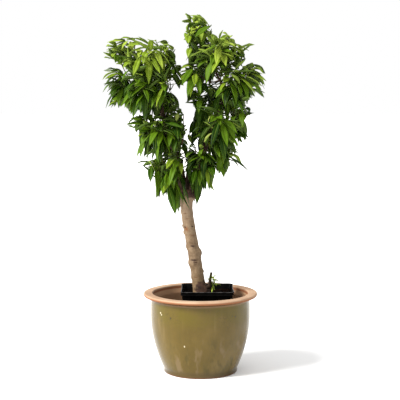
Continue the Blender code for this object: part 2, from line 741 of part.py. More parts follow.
def make_boughs(bark):
    for name, limb in make_limbs().items():
        mesh = limb_mesh(name, limb, LIMB_SIDES)
        mesh.shade_smooth()
        mesh.set_sharp_from_angle(angle=math.radians(50))
        new_object(name, mesh, bark)


def joined(name, meshes, material):
    """One closed object from closed meshes that overlap, by a single union."""
    rest = bpy.data.collections.new(name + "_pieces")
    bpy.context.scene.collection.children.link(rest)
    body = new_object(name + "_body", meshes[0], material)
    for index, mesh in enumerate(meshes[1:]):
        piece = bpy.data.objects.new(f"{name}_piece_{index}", mesh)
        rest.objects.link(piece)
    union = body.modifiers.new("union", "BOOLEAN")
    union.operation = "UNION"
    union.operand_type = "COLLECTION"
    union.collection = rest
    union.solver = "MANIFOLD"
    graph = bpy.context.evaluated_depsgraph_get()
    whole = bpy.data.meshes.new_from_object(body.evaluated_get(graph))
    for piece in list(rest.objects) + [body]:
        bpy.data.objects.remove(piece)
    bpy.data.collections.remove(rest)
    keep_largest(whole)
    whole.name = name
    return new_object(name, whole, material)


def keep_largest(mesh):
    """Drops loose scraps and fills sealed hollows: only the largest shell stays."""
    shape = bmesh.new()
    shape.from_mesh(mesh)
    bmesh.ops.triangulate(shape, faces=shape.faces)
    left = set(shape.faces)
    shells = []
    while left:
        shell = []
        edge_of_shell = [left.pop()]
        while edge_of_shell:
            face = edge_of_shell.pop()
            shell.append(face)
            for edge in face.edges:
                for near in edge.link_faces:
                    if near in left:
                        left.remove(near)
                        edge_of_shell.append(near)
        shells.append(shell)
    shells.sort(key=len)
    for shell in shells[:-1]:
        bmesh.ops.delete(shape, geom=shell, context="FACES")
    loose = [vertex for vertex in shape.verts if not vertex.link_faces]
    bmesh.ops.delete(shape, geom=loose, context="VERTS")
    shape.to_mesh(mesh)
    shape.free()


def make_masses(wood, foliage):
    for name, (stem, shoots, leaves) in grow_masses(MASSES).items():
        meshes = [limb_mesh(name, stem, TWIG_SIDES)]
        meshes += [limb_mesh(name, shoot, TWIG_SIDES) for shoot in shoots]
        kept = [leaf for index, leaf in enumerate(leaves) if index % LEAVES_PER_GAP != 1]
        meshes += [leaf_mesh(name, leaf) for leaf in kept]
        joined(name, meshes, foliage)


def main():
    for obj in list(bpy.data.objects):
        bpy.data.objects.remove(obj)
    bark = plain_material("tan_bark", (0.32, 0.22, 0.13), 0.8)
    foliage = plain_material("nectarine_leaf", (0.07, 0.19, 0.015), 0.45)
    make_glazed_pot()
    make_nursery_pot()
    make_soil()
    make_trunk(bark)
    make_boughs(bark)
    make_masses(bark, foliage)


if __name__ == "__main__":
    main()
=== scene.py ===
"""The looks of a dwarf nectarine tree in a square nursery pot, which stands inside a
round olive-glazed pot with a bare clay rim.

Metres, +Z up. The origin is the middle of the glazed pot's flat underside.
"""

import math
import random
from collections import namedtuple

import bmesh
import bpy
import numpy as np
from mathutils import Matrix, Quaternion, Vector, noise
from mathutils.bvhtree import BVHTree


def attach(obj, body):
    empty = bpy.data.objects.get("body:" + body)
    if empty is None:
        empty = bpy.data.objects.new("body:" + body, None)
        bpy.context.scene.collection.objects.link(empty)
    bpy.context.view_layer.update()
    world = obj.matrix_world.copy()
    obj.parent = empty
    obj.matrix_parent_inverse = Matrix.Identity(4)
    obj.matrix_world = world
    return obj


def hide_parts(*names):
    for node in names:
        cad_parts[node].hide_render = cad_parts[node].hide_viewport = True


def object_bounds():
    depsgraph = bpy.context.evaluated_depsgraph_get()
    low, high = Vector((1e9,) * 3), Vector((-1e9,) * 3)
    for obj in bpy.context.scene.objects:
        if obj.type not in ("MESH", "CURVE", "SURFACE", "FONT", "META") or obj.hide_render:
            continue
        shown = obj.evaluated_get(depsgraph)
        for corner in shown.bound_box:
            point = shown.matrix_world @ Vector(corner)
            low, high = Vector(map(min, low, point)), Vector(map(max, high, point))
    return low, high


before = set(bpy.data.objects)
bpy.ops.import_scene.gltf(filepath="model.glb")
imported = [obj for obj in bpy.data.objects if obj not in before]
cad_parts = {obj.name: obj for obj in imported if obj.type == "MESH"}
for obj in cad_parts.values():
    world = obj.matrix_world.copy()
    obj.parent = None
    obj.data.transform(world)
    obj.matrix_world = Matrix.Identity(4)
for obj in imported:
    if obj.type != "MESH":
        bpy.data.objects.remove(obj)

CAD_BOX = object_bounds()
BODY = "root"

# Camera and stage
CAMERA_PLACE = Vector((-0.0016, -3.2, 0.8405))
CAMERA_PITCH = 5.26
CAMERA_LENS = 91.7
SENSOR_WIDTH = 36.0
FLOOR_SIZE = 200.0
WORLD_STRENGTH = 1.0
KEY_FROM = (-0.78, -0.42, 0.62)
KEY_STRENGTH = 7.0
KEY_SOFTNESS = 24.0

# Round glazed pot
RIM_RADIUS = 0.180
RIM_THICKNESS = 0.0105
RIM_WIDTH = 0.029
RIM_ROUNDING = 0.0042
POT_HEIGHT = 0.2525
BELLY_RADIUS = 0.158
NECK_RADIUS = 0.1555
NECK_RING = 0.0012
FOOT_RADIUS = 0.1175
FOOT_HEIGHT = 0.013
BELLY_HEIGHT = 0.176
BELLY_POWER = 1.85
BELLY_STEPS = 48
POT_WALL = 0.011
POT_FLOOR = 0.013
POT_SEGMENTS = 192

# Square nursery pot and the soil in it
GAP = 0.0003
NURSERY_X = 0.0215
NURSERY_TOP_SIDE = 0.167
NURSERY_FOOT_SIDE = 0.122
NURSERY_TOP = 0.266
NURSERY_WALL = 0.0014
NURSERY_LIP = 0.003
NURSERY_LIP_HEIGHT = 0.012
CORNER_RADIUS = 0.014
CORNER_STEPS = 10
SIDE_STEPS = 16
SOIL_TOP = 0.249

# Trunk, from the soil to the fork
TRUNK_FOOT = Vector((0.0042, 0.0, SOIL_TOP + GAP))
TRUNK_FORK = Vector((-0.0452, 0.0, 0.574))
TRUNK_BOW = -0.0078
TRUNK_SWAY = 0.0022
SWAY_WAVE = 0.8
FOOT_THICKNESS = 0.0205
FORK_THICKNESS = 0.0185
ROOT_FLARE = 0.0055
ROOT_FLARE_HEIGHT = 0.020
FORK_SPREAD = 0.007
FORK_SPREAD_HEIGHT = 0.030

# Knobs on the trunk: height, turn in degrees from +X towards +Y, how far each stands
# out, its half size, and how dark the old cut in its middle is
Knob = namedtuple("Knob", "height turn proud size dark")
KNOBS = (
    Knob(0.262, -25, 0.0075, 0.016, 0.0),
    Knob(0.258, 100, 0.0050, 0.014, 0.4),
    Knob(0.300, 195, 0.0022, 0.007, 0.5),
    Knob(0.321, -12, 0.0030, 0.006, 0.9),
    Knob(0.344, 190, 0.0040, 0.014, 0.1),
    Knob(0.350, 262, 0.0034, 0.008, 0.9),
    Knob(0.381, -10, 0.0070, 0.013, 0.6),
    Knob(0.396, 185, 0.0034, 0.010, 0.2),
    Knob(0.400, 275, 0.0022, 0.006, 0.8),
    Knob(0.420, 80, 0.0040, 0.008, 0.6),
    Knob(0.443, 188, 0.0036, 0.006, 0.7),
    Knob(0.464, 190, 0.0034, 0.005, 0.8),
    Knob(0.478, 60, 0.0030, 0.007, 0.6),
    Knob(0.510, 185, 0.0024, 0.005, 0.9),
    Knob(0.558, -22, 0.0150, 0.0125, 0.5),
)
# Dark old wood: above this height at the fork, and on the root crown
OLD_WOOD_FROM = 0.552
ROOT_CROWN = Knob(0.256, -48, 0.0, 0.037, 1.0)
# Flat scars: height, turn, half width, half height, and how dark each is
SCARS = (
    (0.456, 238, 0.0060, 0.0070, 0.20),
    (0.461, 226, 0.0035, 0.0030, 1.00),
    (0.464, 305, 0.0045, 0.0022, 1.00),
    (0.402, 272, 0.0075, 0.0028, 1.00),
    (0.357, 258, 0.0115, 0.0036, 0.90),
    (0.350, 274, 0.0060, 0.0030, 0.75),
    (0.505, 250, 0.0065, 0.0012, 0.55),
    (0.488, 265, 0.0070, 0.0010, 0.45),
    (0.436, 288, 0.0080, 0.0010, 0.40),
    (0.302, 250, 0.0055, 0.0012, 0.45),
    (0.262, 240, 0.0065, 0.0045, 0.85),
)

LIMB_SIDES = 8
BOUGH_RINGS = 10
LEADER_RINGS = 5
TWIG_SIDES = 3
STEM_RINGS = 3
SHOOT_RINGS = 2
STEM_RADIUS = 0.0026
SHOOT_RADIUS = 0.0019
TIP_RADIUS = 0.0011
TRUNK_SKIN_SIDES = 96
TRUNK_SKIN_RINGS = 260
BOUGH_SKIN_SIDES = 28
BOUGH_SKIN_RINGS = 150

# Leaves: long and pointed, arching over and hanging
LEAF_LENGTH = 0.094
LEAF_WIDTH = 0.0250
LEAF_STATIONS = (0.30, 0.62)
LEAF_FOLD = 0.28
HANG = 1.2
LEAF_THICKNESS = 0.0011
LEAF_ROOT = 0.0006
LOWEST_LEAN = 108
HIGHEST_LEAN = 46
FIRST_LEAF = 0.30
STEM_FIRST_LEAF = 0.40
SPACE_DROP = 0.030
MASS_REACH = 0.150
MARK_SPACING = 0.012
FIRST_MARK = 0.35
LIMB_SPACING = 0.004
SHOOT_TRIES = 8
LEAF_TRIES = 6
GOLDEN_TURN = math.radians(137.5)
LEAF_CLEARANCE = 0.0016
BLADE_THICKNESS = 0.0004
RIB_HALF_WIDTH = 0.00055
BLADE_WIDTH = 0.90
YELLOWED_SHARE = 0.006
# The two pale leaves that show in the middle of the right side
PALE_LEAF = Vector((0.046, -0.081, 0.763))
PALE_REACH = 0.003
STALK_SHARE = 0.07
BLADE_STEPS = (0.0, 0.07, 0.16, 0.30, 0.45, 0.60, 0.74, 0.87, 1.0)

# Finer growth that the limbs' rule carries on to
SPARSE_SIZE = 0.5
TWIGLETS = 4
TWIGLET_SPREAD = 0.55
TWIGLET_LEAVES = 8
TWIGLET_SIZE = 1.0
FILL_LEAVES = 17
FILL_SIZE = 1.0
TUFT_LEAVES = 5
TUFT_SIZE = 1.0
FINER_TRIES = 30
FINER_WIDTH = 0.94
FINER_DROOP = (0.3, 0.8)
TUFT_DROOP = (0.05, 0.45)
FINER_REACH = 0.105
BOX_MARGIN = 0.016
# Short leafy spurs along each limb: how many, and how long they are
SPURS = (("left_bough", 30), ("right_bough", 28), ("right_leader", 14))
SPUR_LENGTH = 0.034
SPUR_SEED = 3
# A leaf is sheltered by the leaves above it: how far above and how far to the side
# they count, and how many of them shade it fully
SHELTER_RISE = 0.025
SHELTER_REACH = 0.050
FULL_SHELTER = 26
# The numbers of a mass's twigs start here for the twiglets, the filling and the tufts
FIRST_FINER = 20
FIRST_FILL = 60
FIRST_TUFT = 120
# Open air in the V and around the crown, as seen from the front: middle x and z, half
# width and half height
CROWN_OPENINGS = (
    (-0.094, 0.905, 0.018, 0.028),
    (-0.062, 0.875, 0.022, 0.026),
    (-0.036, 0.812, 0.018, 0.036),
    (-0.011, 0.707, 0.012, 0.016),
    (0.055, 0.935, 0.014, 0.030),
    (-0.066, 0.590, 0.010, 0.016),
    (-0.064, 1.010, 0.024, 0.046),
    (-0.068, 1.072, 0.024, 0.036),
    (0.040, 1.112, 0.028, 0.046),
    (-0.010, 1.150, 0.042, 0.024),
    (0.098, 1.095, 0.036, 0.028),
    (-0.232, 1.078, 0.050, 0.026),
    (-0.118, 1.068, 0.050, 0.028),
    (0.140, 1.062, 0.048, 0.034),
    (0.185, 0.998, 0.048, 0.030),
    (0.200, 0.985, 0.030, 0.030),
    (0.228, 0.900, 0.030, 0.050),
    (0.180, 0.845, 0.030, 0.030),
    (0.184, 0.775, 0.045, 0.048),
    (0.165, 0.705, 0.045, 0.040),
    (0.115, 0.605, 0.045, 0.045),
    (0.060, 0.600, 0.020, 0.028),
    (0.026, 0.548, 0.036, 0.032),
    (-0.128, 0.522, 0.030, 0.030),
    (-0.240, 0.725, 0.050, 0.055),
    (-0.207, 0.600, 0.050, 0.062),
    (-0.165, 0.530, 0.022, 0.030),
    (-0.146, 0.586, 0.012, 0.030),
    (-0.262, 0.808, 0.042, 0.034),
    (-0.328, 0.925, 0.022, 0.095),
)

UP = Vector((0.0, 0.0, 1.0))
DOWN = Vector((0.0, 0.0, -1.0))

Leaf = namedtuple("Leaf", "root direction side length width droop roll")
Mass = namedtuple("Mass", "name limb along turn tip spread shoots leaves size seed")


class Limb:
    """A tapering limb on a smooth curve, from its foot to its tip. A level foot is cut
    flat to stand on what is below it."""

    def __init__(self, foot, leave, tip, arrive, thick, thin, rings, level_foot=False):
        self.rings = rings
        self.level_foot = level_foot
        self.foot = Vector(foot)
        self.tip = Vector(tip)
        self.thick = thick
        self.thin = thin
        reach = (self.tip - self.foot).length
        self.bend_out = self.foot + Vector(leave).normalized() * reach * 0.36
        self.bend_in = self.tip - Vector(arrive).normalized() * reach * 0.36

    def point(self, t):
        s = 1.0 - t
        ends = self.foot * s**3 + self.tip * t**3
        return ends + self.bend_out * 3 * s * s * t + self.bend_in * 3 * s * t * t

    def direction(self, t):
        return (self.point(t + 0.01) - self.point(t - 0.01)).normalized()

    def radius(self, t):
        return self.thick + (self.thin - self.thick) * t

    def chord_point(self, t):
        """The point at t on the straight lengths that the limb is modelled with."""
        step = min(int(t * self.rings), self.rings - 1)
        start = self.point(step / self.rings)
        return start.lerp(self.point((step + 1) / self.rings), t * self.rings - step)

    def side(self, along, turn):
        """A point just clear of the limb's side, and the way out from the limb there."""
        heading = Vector((math.cos(math.radians(turn)), math.sin(math.radians(turn)), 0.0))
        direction = self.direction(along)
        out = (heading - direction * heading.dot(direction)).normalized()
        return self.point(along) + out * (self.radius(along) + GAP), out

    def end(self, turn):
        """A point just past the limb's flat tip, set off the middle towards a turn."""
        heading = Vector((math.cos(math.radians(turn)), math.sin(math.radians(turn)), 0.0))
        direction = self.direction(1.0)
        out = (heading - direction * heading.dot(direction)).normalized()
        return self.tip + direction * GAP + out * self.thin * 0.55


def rings_shape(rings):
    """The points and faces of a closed shape through rings of points, with flat ends."""
    sides = len(rings[0])
    points = [point for ring in rings for point in ring]
    faces = [list(range(sides)), [len(points) - 1 - i for i in range(sides)]]
    for ring in range(len(rings) - 1):
        low = ring * sides
        for i in range(sides):
            j = (i + 1) % sides
            faces.append((low + i, low + j, low + sides + j, low + sides + i))
    return points, faces


def limb_shape(limb, sides):
    """The points and faces of a limb as a many-sided tube with flat ends."""
    rings = []
    across = limb.direction(0.0).cross(Vector((0.0, 1.0, 0.0))).normalized()
    for step in range(limb.rings + 1):
        t = step / limb.rings
        axis = UP if limb.level_foot and step == 0 else limb.direction(t)
        across = (across - axis * across.dot(axis)).normalized()
        over = axis.cross(across)
        radius = limb.radius(t)
        ring = []
        for i in range(sides):
            angle = math.tau * i / sides
            ring.append(limb.point(t) + (across * math.cos(angle) + over * math.sin(angle)) * radius)
        rings.append(ring)
    return rings_shape(rings)


def trunk_centre(height):
    """The middle of the leaning trunk at a height."""
    s = (height - TRUNK_FOOT.z) / (TRUNK_FORK.z - TRUNK_FOOT.z)
    centre = TRUNK_FOOT.lerp(TRUNK_FORK, s)
    centre.x += TRUNK_BOW * 4 * s * (1 - s) + TRUNK_SWAY * math.sin((s - 1) / SWAY_WAVE * math.tau)
    return centre


def knob_distance(height, turn, radius, knob_height, knob_turn):
    around = math.remainder(turn - math.radians(knob_turn), math.tau) * radius
    return math.hypot(height - knob_height, around)


def trunk_radius(height, turn):
    """The trunk's radius at a height, in a direction given in radians."""
    s = (height - TRUNK_FOOT.z) / (TRUNK_FORK.z - TRUNK_FOOT.z)
    radius = FOOT_THICKNESS + (FORK_THICKNESS - FOOT_THICKNESS) * s
    radius += ROOT_FLARE * math.exp(-(height - TRUNK_FOOT.z) / ROOT_FLARE_HEIGHT)
    spread = math.exp(-(((TRUNK_FORK.z - height) / FORK_SPREAD_HEIGHT) ** 2))
    radius += FORK_SPREAD * spread * math.cos(turn) ** 2
    for knob in KNOBS:
        distance = knob_distance(height, turn, radius, knob.height, knob.turn)
        radius += knob.proud * math.exp(-((distance / knob.size) ** 2) * 1.5)
    return radius


def trunk_side(height, turn):
    """A point just clear of the trunk's side, and the way out from the trunk there."""
    angle = math.radians(turn)
    out = Vector((math.cos(angle), math.sin(angle), 0.0))
    return trunk_centre(height) + out * (trunk_radius(height, angle) + GAP), out


def make_limbs():
    """The two main boughs, the leader on the right one, and a bare twig, by name."""
    fork_top = TRUNK_FORK.z + GAP
    left = Limb(
        foot=(-0.0575, 0.0, fork_top), leave=(0.05, 0.0, 1.0),
        tip=(-0.125, -0.012, 0.862), arrive=(-0.05, -0.10, 1.0),
        thick=0.0130, thin=0.0066, rings=BOUGH_RINGS, level_foot=True,
    )
    right = Limb(
        foot=(-0.0300, 0.0, fork_top), leave=(0.25, 0.0, 1.0),
        tip=(0.070, 0.010, 0.872), arrive=(0.30, 0.05, 1.0),
        thick=0.0126, thin=0.0062, rings=BOUGH_RINGS, level_foot=True,
    )
    leader = Limb(
        foot=right.end(180), leave=right.direction(1.0),
        tip=(0.034, 0.010, 0.980), arrive=(-0.20, 0.0, 1.0),
        thick=0.0038, thin=0.0030, rings=LEADER_RINGS,
    )
    twig_foot, twig_out = left.side(0.46, -25)
    twig = Limb(
        foot=twig_foot, leave=twig_out,
        tip=(-0.053, -0.012, 0.816), arrive=(0.10, 0.0, 1.0),
        thick=0.0024, thin=0.0015, rings=LEADER_RINGS,
    )
    return {"left_bough": left, "right_bough": right, "right_leader": leader, "bare_twig": twig}


# Masses of foliage: name, limb that carries it, place along it, turn round it in
# degrees, tip of its stem, length of its side shoots, their number, leaves on each,
# leaf size and seed. A stem at place 1 grows on from the limb's tip, and a place on the
# trunk is a height.
MASSES = (
    Mass("basal_shoot", "trunk", 0.271, 0, (0.043, -0.010, 0.301), 0.013, 3, 5, 0.30, 53),
    Mass("left_low_west", "left_bough", 0.15, 190, (-0.120, -0.025, 0.680), 0.055, 4, 8, 1.05, 80),
    Mass("left_low_front", "left_bough", 0.10, -90, (-0.082, -0.068, 0.684), 0.050, 4, 8, 1.0, 37),
    Mass("left_low_back", "left_bough", 0.20, 90, (-0.080, 0.075, 0.665), 0.055, 4, 8, 1.0, 13),
    Mass("left_middle_front", "left_bough", 0.40, -110, (-0.122, -0.080, 0.798), 0.055, 4, 8, 1.0, 14),
    Mass("left_middle_west", "left_bough", 0.60, 180, (-0.180, -0.010, 0.822), 0.055, 4, 8, 1.0, 79),
    Mass("left_middle_back", "left_bough", 0.50, 90, (-0.110, 0.075, 0.775), 0.055, 4, 8, 1.0, 67),
    Mass("left_middle_east", "left_bough", 0.72, 0, (-0.088, -0.005, 0.822), 0.040, 3, 7, 0.9, 101),
    Mass("left_top_outer", "left_bough", 0.97, 180, (-0.246, -0.020, 0.972), 0.060, 6, 8, 1.0, 8),
    Mass("left_top_front", "left_bough", 0.92, -110, (-0.178, -0.072, 1.002), 0.065, 5, 8, 1.0, 17),
    Mass("left_top_back", "left_bough", 0.88, 80, (-0.150, 0.085, 0.960), 0.065, 5, 8, 1.0, 107),
    Mass("left_top_west", "left_bough", 1.0, 200, (-0.236, -0.020, 1.003), 0.080, 7, 10, 1.0, 100),
    Mass("left_top_east", "left_bough", 1.0, 20, (-0.120, 0.000, 1.010), 0.072, 6, 9, 1.0, 58),
    Mass("right_low_front", "right_bough", 0.14, -90, (-0.014, -0.070, 0.714), 0.048, 4, 8, 0.95, 40),
    Mass("right_low_east", "right_bough", 0.32, 0, (0.066, -0.010, 0.722), 0.048, 4, 8, 0.95, 21),
    Mass("right_low_back", "right_bough", 0.20, 90, (-0.026, 0.066, 0.664), 0.055, 5, 8, 1.0, 15),
    Mass("right_middle_front", "right_bough", 0.52, -90, (0.048, -0.080, 0.812), 0.055, 4, 8, 1.0, 38),
    Mass("right_middle_east", "right_bough", 0.60, 0, (0.108, -0.010, 0.830), 0.050, 4, 8, 1.05, 10),
    Mass("right_middle_back", "right_bough", 0.55, 90, (0.050, 0.080, 0.790), 0.055, 4, 8, 1.0, 101),
    Mass("right_middle_west", "right_bough", 0.64, 180, (-0.004, -0.010, 0.900), 0.045, 4, 8, 1.0, 90),
    Mass("right_upper_front", "right_bough", 0.93, -90, (0.092, -0.072, 0.938), 0.055, 4, 8, 1.0, 66),
    Mass("right_upper_back", "right_bough", 0.88, 90, (0.070, 0.085, 0.895), 0.055, 4, 8, 1.0, 58),
    Mass("right_upper_side", "right_bough", 1.0, 0, (0.146, 0.000, 0.945), 0.062, 5, 9, 1.0, 35),
    Mass("right_top_low", "right_leader", 0.45, 190, (-0.012, -0.030, 0.948), 0.055, 4, 8, 1.0, 13),
    Mass("right_top_front", "right_leader", 0.70, -90, (0.040, -0.070, 1.008), 0.050, 4, 8, 1.05, 60),
    Mass("right_top_back", "right_leader", 0.60, 90, (0.035, 0.080, 1.005), 0.055, 4, 8, 1.0, 63),
    Mass("right_top_high", "right_leader", 1.0, 180, (-0.022, 0.000, 1.066), 0.065, 6, 9, 1.05, 84),
    Mass("right_top_side", "right_leader", 0.80, 0, (0.084, 0.010, 1.024), 0.062, 5, 9, 1.0, 82),
)


def spaced(limb, spacing, start=0.0):
    """Points along a limb about a spacing apart, from its place `start` to its tip."""
    count = max(2, round((limb.tip - limb.foot).length * (1.0 - start) / spacing))
    places = [start + (1.0 - start) * i / count for i in range(count + 1)]
    return [limb.point(t) for t in places], [limb.radius(t) for t in places]


class Crown:
    """The room that the masses share: a point belongs to the mass whose stem is
    nearest, and nothing but a limb's own mass comes near a limb."""

    def __init__(self, limbs, stems):
        self.owners = list(stems)
        marks = [np.array(spaced(stem, MARK_SPACING, FIRST_MARK)[0]) for stem in stems.values()]
        self.marks = np.vstack(marks)
        self.first_marks = np.cumsum([0] + [len(own) for own in marks[:-1]])
        solid = {}
        for name, limb in list(limbs.items()) + list(stems.items()):
            points, radii = spaced(limb, LIMB_SPACING)
            solid[name] = np.column_stack([points, radii])
        self.foreign = {
            owner: np.vstack([limb for name, limb in solid.items() if name != owner]) for owner in self.owners
        }

    def owns(self, name, points, clearance, reach=MASS_REACH):
        """Whether points keep within reach of their own stem, nearer to it than to any other."""
        raised = points + np.array(UP) * SPACE_DROP
        gaps = np.linalg.norm(raised[:, None] - self.marks[None], axis=2)
        nearest = np.minimum.reduceat(gaps, self.first_marks, axis=1)
        place = self.owners.index(name)
        own = nearest[:, place].copy()
        nearest[:, place] = np.inf
        return own.max() <= reach and (nearest.min(axis=1) - own).min() >= 2 * clearance

    def owner(self, point):
        """The mass that a point belongs to."""
        gaps = np.linalg.norm(np.array(point + UP * SPACE_DROP) - self.marks, axis=1)
        return self.owners[int(np.argmin(np.minimum.reduceat(gaps, self.first_marks)))]

    def holds(self, name, points, clearance):
        """Whether points are in their mass's own room and clear of every other limb."""
        points = np.array([point[:] for point in points])
        if not self.owns(name, points, clearance):
            return False
        foreign = self.foreign[name]
        foreign = foreign[np.linalg.norm(foreign[:, :3] - points[0], axis=1) < MASS_REACH]
        if not len(foreign):
            return True
        gaps = np.linalg.norm(points[:, None] - foreign[None, :, :3], axis=2) - foreign[:, 3]
        return gaps.min() > clearance + LIMB_SPACING / 4


def twig_scale(mass):
    """How thick a mass's twigs are: thinner than the rest where its leaves are small."""
    return min(1.0, math.sqrt(mass.size))


def make_stem(mass, limbs):
    """The stem of a mass, from just clear of its limb to its tip."""
    limb = limbs.get(mass.limb)
    if limb is None:
        foot, out = trunk_side(mass.along, mass.turn)
    elif mass.along == 1.0:
        foot = limb.end(mass.turn)
        out = limb.direction(1.0)
    else:
        foot, out = limb.side(mass.along, mass.turn)
    thick, thin = STEM_RADIUS * twig_scale(mass), TIP_RADIUS * twig_scale(mass)
    while True:
        arrive = UP * 0.6 + (Vector(mass.tip) - foot).normalized()
        stem = Limb(foot, out, mass.tip, arrive, thick, thin, STEM_RINGS)
        if clear_of_trunk(limb_shape(stem, TWIG_SIDES)[0][:TWIG_SIDES], GAP):
            return stem
        foot = foot + out * GAP


def make_shoot(mass, stem, index, rng):
    """One of the stem's side shoots, each further along the stem than the last."""
    along = 0.18 + 0.70 * (index + rng.uniform(0.1, 0.9)) / mass.shoots
    axis = stem.direction(along)
    out = axis.orthogonal().normalized()
    out.rotate(Quaternion(axis, index * GOLDEN_TURN + rng.uniform(0.0, math.tau)))
    heading = (axis * 0.45 + out + UP * 0.15).normalized()
    length = mass.spread * (1.1 - 0.4 * along) * rng.uniform(0.85, 1.15)
    foot = stem.chord_point(along)
    tip = foot + heading * length * 0.95 + UP * length * 0.18
    thick, thin = SHOOT_RADIUS * twig_scale(mass), TIP_RADIUS * twig_scale(mass)
    return Limb(foot, heading, tip, heading + UP * 1.1, thick, thin, SHOOT_RINGS)


def make_leaf(mass, shoot, along, u, turn, rng, droop_share=1.0):
    """A leaf at a place along a shoot. The lowest ones, with u near 0, lean out most."""
    axis = shoot.direction(min(along, 0.99))
    out = axis.orthogonal().normalized()
    out.rotate(Quaternion(axis, turn + rng.uniform(-0.3, 0.3)))
    lean = math.radians(LOWEST_LEAN + (HIGHEST_LEAN - LOWEST_LEAN) * u + rng.uniform(-14, 14))
    direction = (axis * math.cos(lean) + out * math.sin(lean)).normalized()
    side = direction.cross(UP)
    if side.length < 0.2:
        side = out.cross(UP)
    side.normalize()
    length = LEAF_LENGTH * mass.size * rng.uniform(0.82, 1.15) * (1.0 - 0.25 * u**3)
    width = LEAF_WIDTH * mass.size * rng.uniform(0.85, 1.12) * (1.0 - 0.20 * u**3)
    droop = (0.88 - 0.40 * u + rng.uniform(-0.26, 0.26)) * min(1.0, 1.2 * mass.size) * droop_share
    roll = rng.uniform(-0.7, 0.7)
    root = shoot.chord_point(along) - direction * LEAF_ROOT
    return Leaf(root, direction, side, length, width, droop, roll)


def leaf_frame(leaf, t):
    """The middle of a leaf's blade at t, with its side and upper directions there. The
    blade turns down most near its root and then hangs."""
    turned = leaf.droop * (2 * t - t * t)
    fallen = leaf.droop * (t * t - t**3 / 3)
    centre = leaf.root + leaf.length * (leaf.direction * (t - fallen) + DOWN * HANG * fallen)
    along = leaf.direction * (1.0 - turned) + DOWN * HANG * turned
    along.normalize()
    side = leaf.side.copy()
    side.rotate(Quaternion(along, leaf.roll * (0.3 + 0.7 * t)))
    return centre, side, side.cross(along).normalized()


def leaf_outline(t):
    """The share of its full width that a leaf has at t, from its root to its tip."""
    return 3.4 * t**0.75 * (1.0 - t) ** 1.05


def leaf_section(leaf, t):
    """A leaf's two margins and its keel at t."""
    centre, side, upper = leaf_frame(leaf, t)
    half = leaf.width / 2 * leaf_outline(t)
    fold = upper * half * LEAF_FOLD
    keel = centre - upper * LEAF_THICKNESS
    return centre - side * half + fold, centre + side * half + fold, keel


def leaf_shape(leaf):
    """The points and faces of a closed blade, folded along its keel and pointed at both
    ends."""
    points = [leaf.root]
    for t in LEAF_STATIONS:
        points += leaf_section(leaf, t)
    points.append(leaf_frame(leaf, 1.0)[0])
    last = len(points) - 1
    faces = []
    for i in range(3):
        j = (i + 1) % 3
        faces.append((0, 1 + i, 1 + j))
        faces.append((1 + i, 4 + i, 4 + j))
        faces.append((1 + i, 4 + j, 1 + j))
        faces.append((last, 4 + j, 4 + i))
    return points, faces


def leaf_points(leaf):
    """Points spread over a leaf's blade."""
    points = []
    for step in range(1, 10):
        left, right, keel = leaf_section(leaf, step / 9)
        points += [left, right, keel, left.lerp(keel, 0.5), right.lerp(keel, 0.5)]
    return points


def clear_of_trunk(points, clearance):
    """Whether points keep clear of the trunk, and above the soil."""
    for point in points:
        if point.z > TRUNK_FORK.z + clearance:
            continue
        if point.z < SOIL_TOP + clearance:
            return False
        offset = point - trunk_centre(point.z)
        if offset.xy.length < trunk_radius(point.z, math.atan2(offset.y, offset.x)) + clearance:
            return False
    return True


def in_opening(leaf):
    """Whether a leaf hangs in one of the crown's openings, as seen from the front."""
    for t in (0.3, 0.6, 0.9):
        place = leaf_frame(leaf, t)[0]
        share = CAMERA_PLACE.y / (CAMERA_PLACE.y - place.y)
        shown = CAMERA_PLACE + (place - CAMERA_PLACE) * share
        for x, z, half_width, half_height in CROWN_OPENINGS:
            if math.hypot((shown.x - x) / half_width, (shown.z - z) / half_height) < 1.0:
                return True
    return False


def within_box(point):
    """Whether a point is inside the solids' box, with a small margin on each side."""
    low, high = CAD_BOX
    return all(low[i] - BOX_MARGIN < point[i] < high[i] + BOX_MARGIN for i in range(3))


def touching(tree, trees):
    return any(tree.overlap(other) for other in trees)


